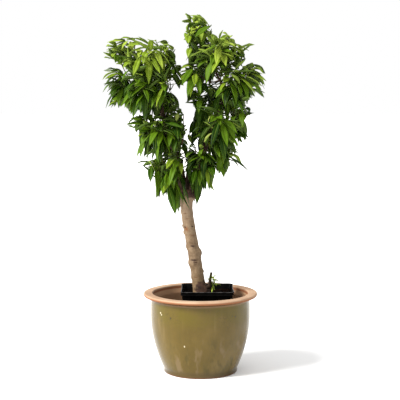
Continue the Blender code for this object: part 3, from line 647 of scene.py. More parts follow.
class Spray:
    """What has grown in one mass so far: its twigs and its leaves, which don't cross."""

    def __init__(self, mass, stem, crown):
        self.mass = mass
        self.stem = stem
        self.crown = crown
        self.twigs = []
        self.twig_trees = []
        self.leaves = []
        self.leaf_trees = []

    def add_twig(self, twig):
        self.twigs.append(twig)
        self.twig_trees.append(BVHTree.FromPolygons(*limb_shape(twig, TWIG_SIDES)))

    def has_room_for(self, leaf, tree, foreign_twigs, reach):
        ends = np.array([leaf_frame(leaf, 0.5)[0][:], leaf_frame(leaf, 1.0)[0][:]])
        if not self.crown.owns(self.mass.name, ends, LEAF_CLEARANCE, reach):
            return False
        if touching(tree, self.leaf_trees + foreign_twigs):
            return False
        blade = leaf_points(leaf)
        return clear_of_trunk(blade, LEAF_CLEARANCE) and self.crown.holds(self.mass.name, blade, LEAF_CLEARANCE)

    def grow_leaves(self, mass, shoot, number, first, count, droop=FINER_DROOP):
        """Leaves in a spiral along a shoot, from its place `first` to its tip, each with
        its place u in the spiral. A leaf that doesn't fit is tried again, then skipped."""
        finer = number >= FIRST_FINER
        tries, reach = (FINER_TRIES, FINER_REACH) if finer else (LEAF_TRIES, MASS_REACH)
        foreign_twigs = [tree for twig, tree in zip(self.twigs, self.twig_trees) if twig is not shoot]
        rng = random.Random(mass.seed * 100 + number)
        start_turn = rng.uniform(0.0, math.tau)
        droop_share = rng.uniform(*droop) if finer else 1.0
        for index in range(count):
            u = index / (count - 1)
            along = first + (1.0 - first) * u**0.85
            turn = start_turn + index * GOLDEN_TURN
            rng = random.Random(mass.seed * 10000 + number * 100 + index)
            for _ in range(tries):
                leaf = make_leaf(mass, shoot, along, u, turn, rng, droop_share)
                if finer:
                    leaf = leaf._replace(width=leaf.width * FINER_WIDTH)
                if in_opening(leaf) or not within_box(leaf_frame(leaf, 1.0)[0]):
                    continue
                tree = BVHTree.FromPolygons(*leaf_shape(leaf))
                if self.has_room_for(leaf, tree, foreign_twigs, reach):
                    self.leaves.append((leaf, u, number))
                    self.leaf_trees.append(tree)
                    break


def grow_shoots(mass, parent, rng, crown):
    """Side shoots of a stem or shoot that keep to the mass's space."""
    shoots = []
    for index in range(mass.shoots):
        for _ in range(SHOOT_TRIES):
            shoot = make_shoot(mass, parent, index, rng)
            path = spaced(shoot, LIMB_SPACING)[0]
            if crown.holds(mass.name, path, SHOOT_RADIUS + GAP) and clear_of_trunk(path, SHOOT_RADIUS):
                shoots.append(shoot)
                break
    return shoots


def make_spurs(limbs):
    """Short twigs straight from the limbs, in a spiral along each."""
    spurs = []
    for name, count in SPURS:
        limb = limbs[name]
        rng = random.Random(SPUR_SEED * count)
        for index in range(count):
            along = 0.08 + 0.88 * (index + 0.5) / count
            foot, out = limb.side(along, math.degrees(index * GOLDEN_TURN))
            heading = out + limb.direction(along) * 0.4 + UP * 0.2
            tip = foot + heading.normalized() * SPUR_LENGTH * rng.uniform(0.7, 1.25)
            spurs.append(Limb(foot, out, tip, heading + UP * 0.8, SHOOT_RADIUS, TIP_RADIUS, SHOOT_RINGS))
    return spurs


def grow_mass(mass, stem, crown, spurs):
    """The stem, shoots, twiglets and leaves of one mass that keep to its space and clear
    of limbs. The solids' own shoots and leaves come first, and the finer growth follows."""
    spray = Spray(mass, stem, crown)
    for twig in grow_shoots(mass, stem, random.Random(mass.seed), crown) + [stem]:
        spray.add_twig(twig)
    for number, twig in enumerate(list(spray.twigs)):
        if twig is stem:
            spray.grow_leaves(mass, twig, number, STEM_FIRST_LEAF, mass.leaves + 3)
        else:
            spray.grow_leaves(mass, twig, number, FIRST_LEAF, mass.leaves)
    tuft = mass._replace(size=mass.size * TUFT_SIZE)
    if mass.size < SPARSE_SIZE:
        for number, twig in enumerate(list(spray.twigs)):
            spray.grow_leaves(tuft, twig, FIRST_TUFT + number, 0.70, TUFT_LEAVES, TUFT_DROOP)
        return spray
    finer = mass._replace(
        spread=mass.spread * TWIGLET_SPREAD, shoots=TWIGLETS, leaves=TWIGLET_LEAVES, size=mass.size * TWIGLET_SIZE
    )
    for number, twig in enumerate(list(spray.twigs)):
        rng = random.Random(mass.seed * 1000 + number)
        for place, twiglet in enumerate(grow_shoots(finer, twig, rng, crown)):
            spray.add_twig(twiglet)
            spray.grow_leaves(finer, twiglet, FIRST_FINER + number * TWIGLETS + place, 0.3, TWIGLET_LEAVES)
    for spur in spurs:
        if crown.owner(spur.tip) == mass.name:
            spray.add_twig(spur)
    for number, twig in enumerate(list(spray.twigs)):
        spray.grow_leaves(tuft, twig, FIRST_TUFT + number, 0.93, TUFT_LEAVES, TUFT_DROOP)
    fill = mass._replace(size=mass.size * FILL_SIZE)
    for number, twig in enumerate(list(spray.twigs)):
        spray.grow_leaves(fill, twig, FIRST_FILL + number, 0.15, FILL_LEAVES)
    return spray


# Materials


class Paint:
    """Builds one node material: a shader, with noise, ramps and bumps fed into it."""

    def __init__(self, name, colour, roughness, **values):
        self.material = bpy.data.materials.new(name)
        self.material.use_nodes = True
        self.nodes = self.material.node_tree.nodes
        self.links = self.material.node_tree.links
        self.shader = self.nodes["Principled BSDF"]
        self.set("Base Color", (*colour, 1.0))
        self.set("Roughness", roughness)
        for socket, value in values.items():
            self.set(socket.replace("_", " "), value)
        self.place = self.nodes.new("ShaderNodeTexCoord").outputs["Object"]

    def set(self, socket, value):
        self.shader.inputs[socket].default_value = value

    def feed(self, socket, output):
        self.links.new(output, self.shader.inputs[socket])

    def stretched(self, scale, slant=0.0):
        mapping = self.nodes.new("ShaderNodeMapping")
        mapping.inputs["Rotation"].default_value = (0.0, math.radians(slant), 0.0)
        mapping.inputs["Scale"].default_value = scale
        self.links.new(self.place, mapping.inputs["Vector"])
        return mapping.outputs["Vector"]

    def noise(self, scale, detail=3.0, roughness=0.5, stretch=None, slant=0.0):
        texture = self.nodes.new("ShaderNodeTexNoise")
        texture.inputs["Scale"].default_value = scale
        texture.inputs["Detail"].default_value = detail
        texture.inputs["Roughness"].default_value = roughness
        place = self.stretched(stretch, slant) if stretch else self.place
        self.links.new(place, texture.inputs["Vector"])
        return texture.outputs["Fac"]

    def specks(self, scale, size):
        """1 within a size of scattered points, 0 elsewhere."""
        texture = self.nodes.new("ShaderNodeTexVoronoi")
        texture.inputs["Scale"].default_value = scale
        self.links.new(self.place, texture.inputs["Vector"])
        return self.between(texture.outputs["Distance"], size, size * 0.6)

    def cracks(self, scale, width):
        """1 on the borders between cells, 0 inside them."""
        texture = self.nodes.new("ShaderNodeTexVoronoi")
        texture.feature = "DISTANCE_TO_EDGE"
        texture.inputs["Scale"].default_value = scale
        self.links.new(self.place, texture.inputs["Vector"])
        return self.between(texture.outputs["Distance"], width, width * 0.4)

    def between(self, value, low, high):
        """A smooth rise from 0 to 1 as a value goes from low to high."""
        node = self.nodes.new("ShaderNodeMapRange")
        node.interpolation_type = "SMOOTHSTEP"
        node.inputs["From Min"].default_value = low
        node.inputs["From Max"].default_value = high
        self.links.new(value, node.inputs["Value"])
        return node.outputs["Result"]

    def along(self, axis):
        """The place along the X, Y or Z axis."""
        split = self.nodes.new("ShaderNodeSeparateXYZ")
        self.links.new(self.place, split.inputs["Vector"])
        return split.outputs[axis]

    def attribute(self, name):
        node = self.nodes.new("ShaderNodeAttribute")
        node.attribute_name = name
        return node.outputs["Fac"]

    def ramp(self, value, stops):
        node = self.nodes.new("ShaderNodeValToRGB")
        elements = node.color_ramp.elements
        elements[0].position, elements[0].color = stops[0][0], (*stops[0][1], 1.0)
        elements[1].position, elements[1].color = stops[-1][0], (*stops[-1][1], 1.0)
        for position, colour in stops[1:-1]:
            elements.new(position).color = (*colour, 1.0)
        self.links.new(value, node.inputs["Fac"])
        return node.outputs["Color"]

    def blend(self, share, first, second):
        """A colour that goes from the first to the second, each a socket or a colour."""
        node = self.nodes.new("ShaderNodeMix")
        node.data_type = "RGBA"
        self.links.new(share, node.inputs[0])
        for socket, colour in ((node.inputs[6], first), (node.inputs[7], second)):
            if isinstance(colour, tuple):
                socket.default_value = (*colour, 1.0)
            else:
                self.links.new(colour, socket)
        return node.outputs[2]

    def times(self, first, second):
        node = self.nodes.new("ShaderNodeMath")
        node.operation = "MULTIPLY"
        self.links.new(first, node.inputs[0])
        if isinstance(second, float):
            node.inputs[1].default_value = second
        else:
            self.links.new(second, node.inputs[1])
        return node.outputs["Value"]

    def bump(self, value, depth, strength=1.0):
        node = self.nodes.new("ShaderNodeBump")
        node.inputs["Distance"].default_value = depth
        node.inputs["Strength"].default_value = strength
        self.links.new(value, node.inputs["Height"])
        self.feed("Normal", node.outputs["Normal"])


def olive_glaze():
    """Glossy olive glaze that ran down while it melted: greener and finely crackled near
    the top, streaked with brown lower down, and brown round the neck and the foot."""
    paint = Paint("olive_glaze", (0.088, 0.057, 0.008), 0.16, Specular_IOR_Level=0.25)
    height = paint.along("Z")
    clouds = paint.noise(7.0, 4.0, 0.6)
    streaks = paint.noise(1.0, 3.0, 0.6, stretch=(30.0, 30.0, 3.5))
    runs = paint.noise(1.0, 3.0, 0.6, stretch=(26.0, 12.0, 9.0), slant=-32.0)
    base = paint.ramp(clouds, [
        (0.30, (0.072, 0.047, 0.006)), (0.50, (0.090, 0.059, 0.009)), (0.72, (0.112, 0.074, 0.015)),
    ])
    base = paint.blend(paint.between(streaks, 0.50, 0.80), base, (0.072, 0.051, 0.007))
    base = paint.blend(paint.times(paint.between(streaks, 0.46, 0.25), 0.7), base, (0.140, 0.096, 0.030))
    green = paint.times(paint.between(height, 0.150, 0.200), paint.between(clouds, 0.62, 0.42))
    base = paint.blend(paint.times(green, 0.8), base, (0.084, 0.062, 0.0035))
    low = paint.between(height, 0.150, 0.095)
    base = paint.blend(paint.times(low, paint.between(runs, 0.42, 0.30)), base, (0.125, 0.085, 0.033))
    base = paint.blend(paint.times(low, paint.between(runs, 0.52, 0.66)), base, (0.060, 0.043, 0.006))
    crackle = paint.times(paint.cracks(95.0, 0.055), paint.between(paint.noise(14.0), 0.50, 0.58))
    crackle = paint.times(crackle, paint.between(height, 0.15, 0.19))
    base = paint.blend(paint.times(crackle, 0.32), base, (0.040, 0.028, 0.005))
    base = paint.blend(paint.between(height, 0.2295, 0.2320), base, (0.150, 0.088, 0.036))
    base = paint.blend(paint.between(height, 0.030, 0.004), base, (0.060, 0.038, 0.010))
    base = paint.blend(paint.between(height, 0.0050, 0.0025), base, (0.110, 0.045, 0.018))
    base = paint.blend(paint.specks(55.0, 0.09), base, (0.075, 0.045, 0.015))
    paint.feed("Base Color", base)
    paint.feed("Roughness", paint.ramp(clouds, [(0.3, (0.12,) * 3), (0.7, (0.24,) * 3)]))
    paint.bump(paint.noise(38.0, 2.0), 0.0006, 0.35)
    return paint.material


def bare_clay():
    """Unglazed tan clay, darker and more orange in a band round the rim's lower edge and its inner edge."""
    paint = Paint("bare_clay", (0.52, 0.31, 0.17), 0.85)
    height = paint.along("Z")
    grain = paint.noise(160.0, 5.0, 0.7)
    clouds = paint.noise(16.0, 3.0)
    base = paint.ramp(clouds, [
        (0.32, (0.280, 0.165, 0.094)), (0.52, (0.345, 0.218, 0.132)), (0.74, (0.405, 0.280, 0.183)),
    ])
    base = paint.blend(paint.between(height, 0.2510, 0.2455), base, (0.190, 0.062, 0.016))
    base = paint.blend(paint.between(height, 0.2430, 0.2390), base, (0.335, 0.188, 0.098))
    base = paint.blend(paint.specks(60.0, 0.07), base, (0.13, 0.07, 0.035))
    paint.feed("Base Color", base)
    paint.bump(grain, 0.0009, 0.5)
    return paint.material


def black_plastic():
    """Thin black plastic, dusty in places, with a painted pale highlight along its top edge."""
    paint = Paint("black_plastic", (0.002, 0.002, 0.002), 0.34, Specular_IOR_Level=0.04)
    dust = paint.noise(45.0, 5.0, 0.7)
    base = paint.ramp(dust, [(0.5, (0.0015, 0.0015, 0.0015)), (0.8, (0.006, 0.005, 0.004))])
    # Painted highlight: a pale grey line along the lip's top edge, broken up by the dust noise, stands in for the
    # shine there.
    edge = paint.times(paint.between(paint.along("Z"), NURSERY_TOP - 0.0016, NURSERY_TOP - 0.0006), 0.8)
    painted_highlight = paint.times(edge, paint.between(dust, 0.35, 0.60))
    paint.feed("Base Color", paint.blend(painted_highlight, base, (0.085, 0.080, 0.078)))
    paint.feed("Roughness", paint.ramp(dust, [(0.35, (0.28,) * 3), (0.75, (0.55,) * 3)]))
    paint.bump(paint.noise(260.0, 2.0), 0.0003, 0.3)
    return paint.material


def dark_soil(name, dark, light):
    """Damp potting mix, with painted shade by the wall on the left."""
    paint = Paint(name, dark, 0.95, Specular_IOR_Level=0.03)
    lumps = paint.noise(120.0, 5.0, 0.7)
    base = paint.ramp(lumps, [(0.35, dark), (0.72, light)])
    # Painted shade: the soil and its crumbs turn nearly black towards the wall on the left, where the lip shades them.
    painted_wall_shade = paint.times(paint.between(paint.along("X"), 0.015, -0.035), 0.85)
    paint.feed("Base Color", paint.blend(painted_wall_shade, base, (0.0015, 0.0008, 0.0005)))
    paint.bump(paint.noise(300.0, 4.0, 0.7), 0.0015, 0.8)
    return paint.material


def tan_bark():
    """Smooth tan bark, faintly banded, with dark old cuts, dark wood at the fork, and painted light on the upper trunk
    under the crown.
    """
    paint = Paint("tan_bark", (0.38, 0.27, 0.17), 0.82, Specular_IOR_Level=0.2)
    bands = paint.noise(1.0, 4.0, 0.6, stretch=(35.0, 35.0, 150.0))
    blotches = paint.noise(55.0, 5.0, 0.65)
    fine = paint.noise(420.0, 4.0, 0.7)
    base = paint.ramp(blotches, [
        (0.28, (0.080, 0.049, 0.026)), (0.50, (0.148, 0.100, 0.058)), (0.75, (0.228, 0.164, 0.104)),
    ])
    base = paint.blend(paint.between(bands, 0.55, 0.75), base, (0.160, 0.105, 0.062))
    base = paint.blend(paint.times(paint.between(fine, 0.52, 0.70), 0.45), base, (0.110, 0.068, 0.038))
    base = paint.blend(paint.times(paint.between(paint.along("Z"), 0.36, 0.28), 0.6), base, (0.130, 0.082, 0.038))
    # Painted light: the upper trunk, shaded by the crown, is painted lighter to make up for the light it lacks.
    base = paint.blend(paint.times(paint.between(paint.along("Z"), 0.45, 0.52), 0.6), base, (0.200, 0.142, 0.094))
    base = paint.blend(paint.attribute("burnt"), base, (0.170, 0.070, 0.026))
    base = paint.blend(paint.attribute("dark_cut"), base, (0.022, 0.010, 0.006))
    old = paint.ramp(blotches, [(0.35, (0.016, 0.008, 0.006)), (0.72, (0.070, 0.034, 0.020))])
    base = paint.blend(paint.attribute("old_wood"), base, old)
    paint.feed("Base Color", base)
    paint.bump(fine, 0.0009, 0.6)
    return paint.material


def dark_bark():
    """The boughs' darker bark, grey-brown with reddish patches."""
    paint = Paint("dark_bark", (0.09, 0.055, 0.035), 0.8, Specular_IOR_Level=0.12)
    blotches = paint.noise(70.0, 5.0, 0.65)
    bands = paint.noise(1.0, 3.0, 0.6, stretch=(60.0, 60.0, 300.0))
    base = paint.ramp(blotches, [
        (0.30, (0.018, 0.009, 0.006)), (0.52, (0.045, 0.025, 0.016)), (0.75, (0.090, 0.056, 0.034)),
    ])
    base = paint.blend(paint.between(bands, 0.55, 0.75), base, (0.022, 0.012, 0.008))
    paint.feed("Base Color", base)
    paint.bump(paint.noise(400.0, 4.0, 0.7), 0.0006, 0.5)
    return paint.material


def twig_bark(name, dark, light, roughness):
    paint = Paint(name, dark, roughness, Specular_IOR_Level=0.12)
    paint.feed("Base Color", paint.ramp(paint.noise(90.0, 4.0, 0.6), [(0.35, dark), (0.70, light)]))
    paint.bump(paint.noise(500.0, 3.0), 0.0003, 0.4)
    return paint.material


def leaf_paint(name, dark, light, roughness, sheen_spread=0.12):
    """A leaf's skin: two close greens in soft clouds, with a gloss that varies."""
    paint = Paint(name, dark, roughness, Specular_IOR_Level=0.09)
    clouds = paint.noise(70.0, 3.0, 0.6)
    paint.feed("Base Color", paint.ramp(clouds, [(0.30, dark), (0.70, light)]))
    low, high = roughness - sheen_spread / 2, roughness + sheen_spread
    paint.feed("Roughness", paint.ramp(clouds, [(0.3, (low,) * 3), (0.7, (high,) * 3)]))
    paint.bump(paint.noise(220.0, 2.0), 0.0005, 0.35)
    return paint.material


# Upper skins of the leaves, from the darkest to the youngest, and one that has yellowed; the darker ones stand both
# for older leaves and for painted shade under other leaves
LEAF_KINDS = {
    "shaded": ((0.006, 0.020, 0.0004), (0.011, 0.033, 0.0008), 0.40),
    "deep": ((0.015, 0.041, 0.0008), (0.026, 0.063, 0.0016), 0.42),
    "full": ((0.045, 0.096, 0.002), (0.070, 0.134, 0.004), 0.44),
    "fresh": ((0.104, 0.164, 0.007), (0.152, 0.222, 0.014), 0.46),
    "young": ((0.180, 0.248, 0.020), (0.240, 0.312, 0.036), 0.48),
    "yellowed": ((0.200, 0.245, 0.050), (0.265, 0.310, 0.075), 0.50),
}
UNDER_KINDS = {
    "under_old": ((0.042, 0.076, 0.010), (0.064, 0.104, 0.015), 0.60),
    "under_young": ((0.140, 0.205, 0.025), (0.190, 0.265, 0.040), 0.60),
}
RIB_KINDS = {
    "rib_old": ((0.085, 0.135, 0.012), (0.120, 0.175, 0.020), 0.50),
    "rib_young": ((0.270, 0.350, 0.055), (0.330, 0.420, 0.080), 0.50),
}


# Meshes


def finished(name, mesh, materials, slot, *replaced):
    """Puts a finished mesh in the scene as one piece of the plant."""
    if not mesh.materials:
        for material in materials:
            mesh.materials.append(material)
    obj = bpy.data.objects.new(name, mesh)
    bpy.context.scene.collection.objects.link(obj)
    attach(obj, BODY)
    if replaced:
        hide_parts(*replaced)
    return obj


def mesh_from(name, points, faces, face_materials=None, smooth=True, outward=True):
    mesh = bpy.data.meshes.new(name)
    mesh.from_pydata([tuple(point) for point in points], [], faces)
    if face_materials is not None:
        mesh.polygons.foreach_set("material_index", face_materials)
    if outward:
        shape = bmesh.new()
        shape.from_mesh(mesh)
        bmesh.ops.recalc_face_normals(shape, faces=shape.faces)
        shape.to_mesh(mesh)
        shape.free()
    if smooth:
        mesh.shade_smooth()
    mesh.update()
    return mesh


def arc(centre, radius, start, end, steps):
    """Points (radius, height) on an arc between two angles in degrees."""
    points = []
    for step in range(steps + 1):
        angle = math.radians(start + (end - start) * step / steps)
        points.append((centre[0] + radius * math.cos(angle), centre[1] + radius * math.sin(angle)))
    return points


def pot_profile():
    """The glazed pot's outline in the upper half plane, from the middle of its underside
    up its outer side, over the rim and down inside to the floor, and how many of its
    lengths lie below the rim."""
    outer = [(0.0, 0.0), (0.06, 0.0)]
    outer += arc((FOOT_RADIUS - 0.003, 0.003), 0.003, -90, 0, 5)
    outer.append((FOOT_RADIUS - 0.0006, 0.008))
    rise = BELLY_HEIGHT - FOOT_HEIGHT
    belly = []
    for step in range(BELLY_STEPS + 1):
        u = step / BELLY_STEPS
        radius = FOOT_RADIUS + (BELLY_RADIUS - FOOT_RADIUS) * (1.0 - (1.0 - u) ** BELLY_POWER)
        belly.append((radius, FOOT_HEIGHT + rise * u))
    rim_foot = POT_HEIGHT - RIM_THICKNESS
    neck_steps = 24
    for step in range(1, neck_steps + 1):
        u = step / neck_steps
        height = BELLY_HEIGHT + (rim_foot - 0.004 - BELLY_HEIGHT) * u
        ring = NECK_RING * min(1.0, max(0.0, (height - 0.2285) / 0.004))
        radius = BELLY_RADIUS + (NECK_RADIUS - BELLY_RADIUS) * u**4 + ring
        belly.append((radius, height))
    neck = arc((NECK_RADIUS + NECK_RING + 0.0035, rim_foot - 0.0045), 0.0035, 180, 90, 5)
    outer += belly + neck
    rounding = RIM_ROUNDING
    rim_out = RIM_RADIUS - rounding
    rim_in = RIM_RADIUS - RIM_WIDTH + rounding
    rim = arc((rim_out, rim_foot + rounding), rounding, -90, 0, 6)
    rim += arc((rim_out, POT_HEIGHT - rounding), rounding, 0, 90, 6)
    for step in range(1, 6):
        u = step / 6
        crown = 0.0006 * math.sin(math.pi * u)
        rim.append((rim_out + (rim_in - rim_out) * u, POT_HEIGHT + crown - 0.0006))
    rim += arc((rim_in, POT_HEIGHT - rounding), rounding, 90, 180, 6)
    inner = [(RIM_RADIUS - RIM_WIDTH - 0.002, rim_foot - 0.010)]
    for radius, height in reversed(belly[6:-4]):
        inner.append((radius - POT_WALL, height))
    inner.append((FOOT_RADIUS - POT_WALL - 0.006, POT_FLOOR))
    inner.append((0.0, POT_FLOOR))
    return outer + rim + inner, len(outer)


def make_glazed_pot():
    """The round pot, turned from its profile, with slightly uneven hand-finished walls."""
    profile, glazed = pot_profile()
    points = [Vector((0.0, 0.0, profile[0][1])), Vector((0.0, 0.0, profile[-1][1]))]
    for radius, height in profile[1:-1]:
        for i in range(POT_SEGMENTS):
            angle = math.tau * i / POT_SEGMENTS
            out = Vector((math.cos(angle), math.sin(angle), 0.0))
            uneven = noise.noise(Vector((out.x * 1.6, out.y * 1.6, height * 9.0)))
            share = min(1.0, height / 0.04)
            points.append(out * (radius + 0.0007 * uneven * share) + UP * height)
    last = 2 + (len(profile) - 3) * POT_SEGMENTS
    faces = []
    kinds = []
    for i in range(POT_SEGMENTS):
        j = (i + 1) % POT_SEGMENTS
        faces.append((0, 2 + j, 2 + i))
        kinds.append(1)
        faces.append((1, last + i, last + j))
        kinds.append(1)
        for row, low in enumerate(range(2, last, POT_SEGMENTS)):
            faces.append((low + i, low + j, low + POT_SEGMENTS + j, low + POT_SEGMENTS + i))
            kinds.append(0 if 1 <= row < glazed - 1 else 1)
    mesh = mesh_from("glazed_pot_surface", points, faces, kinds)
    finished("glazed_pot_surface", mesh, [olive_glaze(), bare_clay()], "glaze", "glazed_pot")


# Chips and specks in the glaze: turn in degrees, height, half height, and whether pale
GLAZE_MARKS = (
    (-141.2, 0.205, 0.0032, True),
    (-139.4, 0.200, 0.0030, True),
    (-125.5, 0.194, 0.0030, False),
    (-109, 0.109, 0.0030, True),
    (-47.5, 0.197, 0.0024, False),
    (-52.0, 0.200, 0.0018, False),
    (-58.0, 0.166, 0.0016, False),
    (35, 0.120, 0.0024, True),
    (150, 0.172, 0.0024, False),
)


def wall_radius(height):
    u = min(1.0, max(0.0, (height - FOOT_HEIGHT) / (BELLY_HEIGHT - FOOT_HEIGHT)))
    return FOOT_RADIUS + (BELLY_RADIUS - FOOT_RADIUS) * (1.0 - (1.0 - u) ** BELLY_POWER)


def make_glaze_marks():
    """Small chips and specks, each a thin uneven flake in the glaze."""
    points = []
    faces = []
    kinds = []
    sides = 9
    for number, (turn, height, size, pale) in enumerate(GLAZE_MARKS):
        angle = math.radians(turn)
        out = Vector((math.cos(angle), math.sin(angle), 0.0))
        across = Vector((-out.y, out.x, 0.0))
        centre = out * (wall_radius(height) + 0.0006) + UP * height
        rng = random.Random(number)
        low = len(points)
        for depth, spread in ((-0.0015, 1.1), (0.0, 1.0)):
            for i in range(sides):
                around = math.tau * i / sides
                reach = size * spread * rng.uniform(0.7, 1.1)
                slant = across * math.cos(around) * 0.7 + UP * math.sin(around)
                points.append(centre + slant * reach + out * depth)
        points.append(centre + out * 0.0002)
        for i in range(sides):
            j = (i + 1) % sides
            faces.append((low + i, low + j, low + sides + j, low + sides + i))
            faces.append((low + sides + i, low + sides + j, low + 2 * sides))
            kinds += [0 if pale else 1] * 2
        faces.append(tuple(low + i for i in reversed(range(sides))))
        kinds.append(0 if pale else 1)
    mesh = mesh_from("glaze_marks", points, faces, kinds, smooth=False)
    pale = Paint("pale_chip", (0.50, 0.43, 0.28), 0.7)
    pale.feed("Base Color", pale.ramp(pale.noise(400.0), [(0.3, (0.38, 0.32, 0.19)), (0.7, (0.56, 0.50, 0.34))]))
    dark = Paint("dark_speck", (0.012, 0.008, 0.004), 0.5)
    dark.feed("Base Color", dark.ramp(dark.noise(400.0), [(0.3, (0.006, 0.004, 0.002)), (0.7, (0.020, 0.012, 0.006))]))
    finished("glaze_marks", mesh, [pale.material, dark.material], "glaze")


def square_ring(side, corner, height, sag=0.0):
    """Points round a square with rounded corners, at a height, over the pot's middle."""
    ring = []
    reach = side / 2 - corner
    for quarter in range(4):
        middle = math.radians(45 + 90 * quarter)
        x = NURSERY_X + reach * math.copysign(1.0, math.cos(middle))
        y = reach * math.copysign(1.0, math.sin(middle))
        for step in range(CORNER_STEPS + 1):
            angle = math.radians(90 * quarter + 90 * step / CORNER_STEPS)
            ring.append(Vector((x + corner * math.cos(angle), y + corner * math.sin(angle), height)))
        following = math.radians(90 * (quarter + 1))
        along = Vector((-math.sin(following), math.cos(following), 0.0))
        out = Vector((math.cos(following), math.sin(following), 0.0))
        start = ring[-1].copy()
        for step in range(1, SIDE_STEPS):
            u = step / SIDE_STEPS
            bow = -4 * u * (1 - u) * sag
            ring.append(start + along * (2 * reach * u) + out * bow)
    return ring


def nursery_side(height):
    """The nursery pot's outer side length at a height: it narrows downwards."""
    foot = POT_FLOOR + GAP
    share = (height - foot) / (NURSERY_TOP - foot)
    return NURSERY_FOOT_SIDE + (NURSERY_TOP_SIDE - NURSERY_FOOT_SIDE) * share


def make_nursery_pot():
    """A thin-walled square pot. Its lip turns out, down and in again, and the walls bow
    in a little between the corners."""
    foot = POT_FLOOR + GAP
    lip_foot = NURSERY_TOP - NURSERY_LIP_HEIGHT
    body_top = nursery_side(lip_foot) - 2 * NURSERY_LIP
    body_foot = NURSERY_FOOT_SIDE - 2 * NURSERY_LIP
    wall = 2 * NURSERY_WALL
    wide = CORNER_RADIUS + NURSERY_LIP
    sag = 0.0016
    edge = 0.0006
    rings = [
        square_ring(body_foot - 0.004, CORNER_RADIUS, foot),
        square_ring(body_foot, CORNER_RADIUS, foot + 0.002),
        square_ring((body_foot + body_top) / 2, CORNER_RADIUS, (foot + lip_foot) / 2, sag),
        square_ring(body_top, CORNER_RADIUS, lip_foot - 0.001, sag),
        square_ring(body_top + 0.002, CORNER_RADIUS + 0.001, lip_foot, sag),
        square_ring(NURSERY_TOP_SIDE - 2 * edge, wide - edge, lip_foot, sag),
        square_ring(NURSERY_TOP_SIDE, wide, lip_foot + edge, sag),
        square_ring(NURSERY_TOP_SIDE - 0.0016, wide - 0.0008, NURSERY_TOP - 0.004, sag),
        square_ring(NURSERY_TOP_SIDE, wide, NURSERY_TOP - 0.0025, sag),
        square_ring(NURSERY_TOP_SIDE, wide, NURSERY_TOP - edge, sag),
        square_ring(NURSERY_TOP_SIDE - 2 * edge, wide - edge, NURSERY_TOP, sag),
        square_ring(NURSERY_TOP_SIDE - wall - edge, wide - NURSERY_WALL, NURSERY_TOP, sag),
        square_ring(NURSERY_TOP_SIDE - wall - 2 * edge, wide - NURSERY_WALL - edge, NURSERY_TOP - edge, sag),
        square_ring(body_top - wall, CORNER_RADIUS - NURSERY_WALL, lip_foot + NURSERY_WALL, sag),
        square_ring(body_foot - wall, CORNER_RADIUS - NURSERY_WALL, foot + NURSERY_WALL),
    ]
    points, faces = rings_shape(rings)
    mesh = mesh_from("nursery_pot_surface", points, faces)
    mesh.set_sharp_from_angle(angle=math.radians(40))
    finished("nursery_pot_surface", mesh, [black_plastic()], "black_plastic", "nursery_pot")


def soil_height(x, y):
    """The lumpy top of the soil."""
    coarse = noise.noise(Vector((x * 28.0, y * 28.0, 3.0))) * 0.0040
    fine = noise.noise(Vector((x * 95.0, y * 95.0, 7.0))) * 0.0022
    tiny = noise.noise(Vector((x * 260.0, y * 260.0, 1.0))) * 0.0010
    return SOIL_TOP - 0.0015 + coarse + fine + tiny


def make_soil():
    """The soil's lumpy top over its plain sides, and loose crumbs scattered on it."""
    lip_foot = NURSERY_TOP - NURSERY_LIP_HEIGHT
    foot = POT_FLOOR + GAP * 2 + NURSERY_WALL
    inset = 2 * (NURSERY_LIP + NURSERY_WALL + GAP)
    corner = CORNER_RADIUS - NURSERY_WALL - GAP
    top_side = nursery_side(lip_foot) - inset - 0.0036
    foot_side = NURSERY_FOOT_SIDE - inset
    rings = [square_ring(foot_side, corner, foot), square_ring(top_side, corner, SOIL_TOP - 0.006)]
    rows = 40
    for row in range(rows):
        share = 1.0 - row / rows
        ring = []
        for point in square_ring(top_side, corner, 0.0):
            x = NURSERY_X + (point.x - NURSERY_X) * share
            y = point.y * share
            ring.append(Vector((x, y, soil_height(x, y))))
        rings.append(ring)
    points, faces = rings_shape(rings)
    mesh = mesh_from("soil_surface", points, faces)
    top = bpy.data.meshes.new("soil_top")
    grown = [face for face in faces if len(face) == 4 and min(points[i].z for i in face) > SOIL_TOP - 0.02]
    top.from_pydata([tuple(point) for point in points], [], grown)
    soil = dark_soil("damp_soil", (0.0010, 0.0005, 0.0003), (0.007, 0.003, 0.0018))
    crumb = dark_soil("soil_crumb", (0.0015, 0.0008, 0.0005), (0.032, 0.014, 0.008))
    finished("soil_surface", mesh, [soil], "soil", "soil")
    crumbs = scattered("soil_crumbs", top, crumb_tree(), {"Crumb paint": crumb, "Size": 0.0016, "Density": 52000.0})
    finished("soil_crumbs", crumbs, [crumb], "soil")


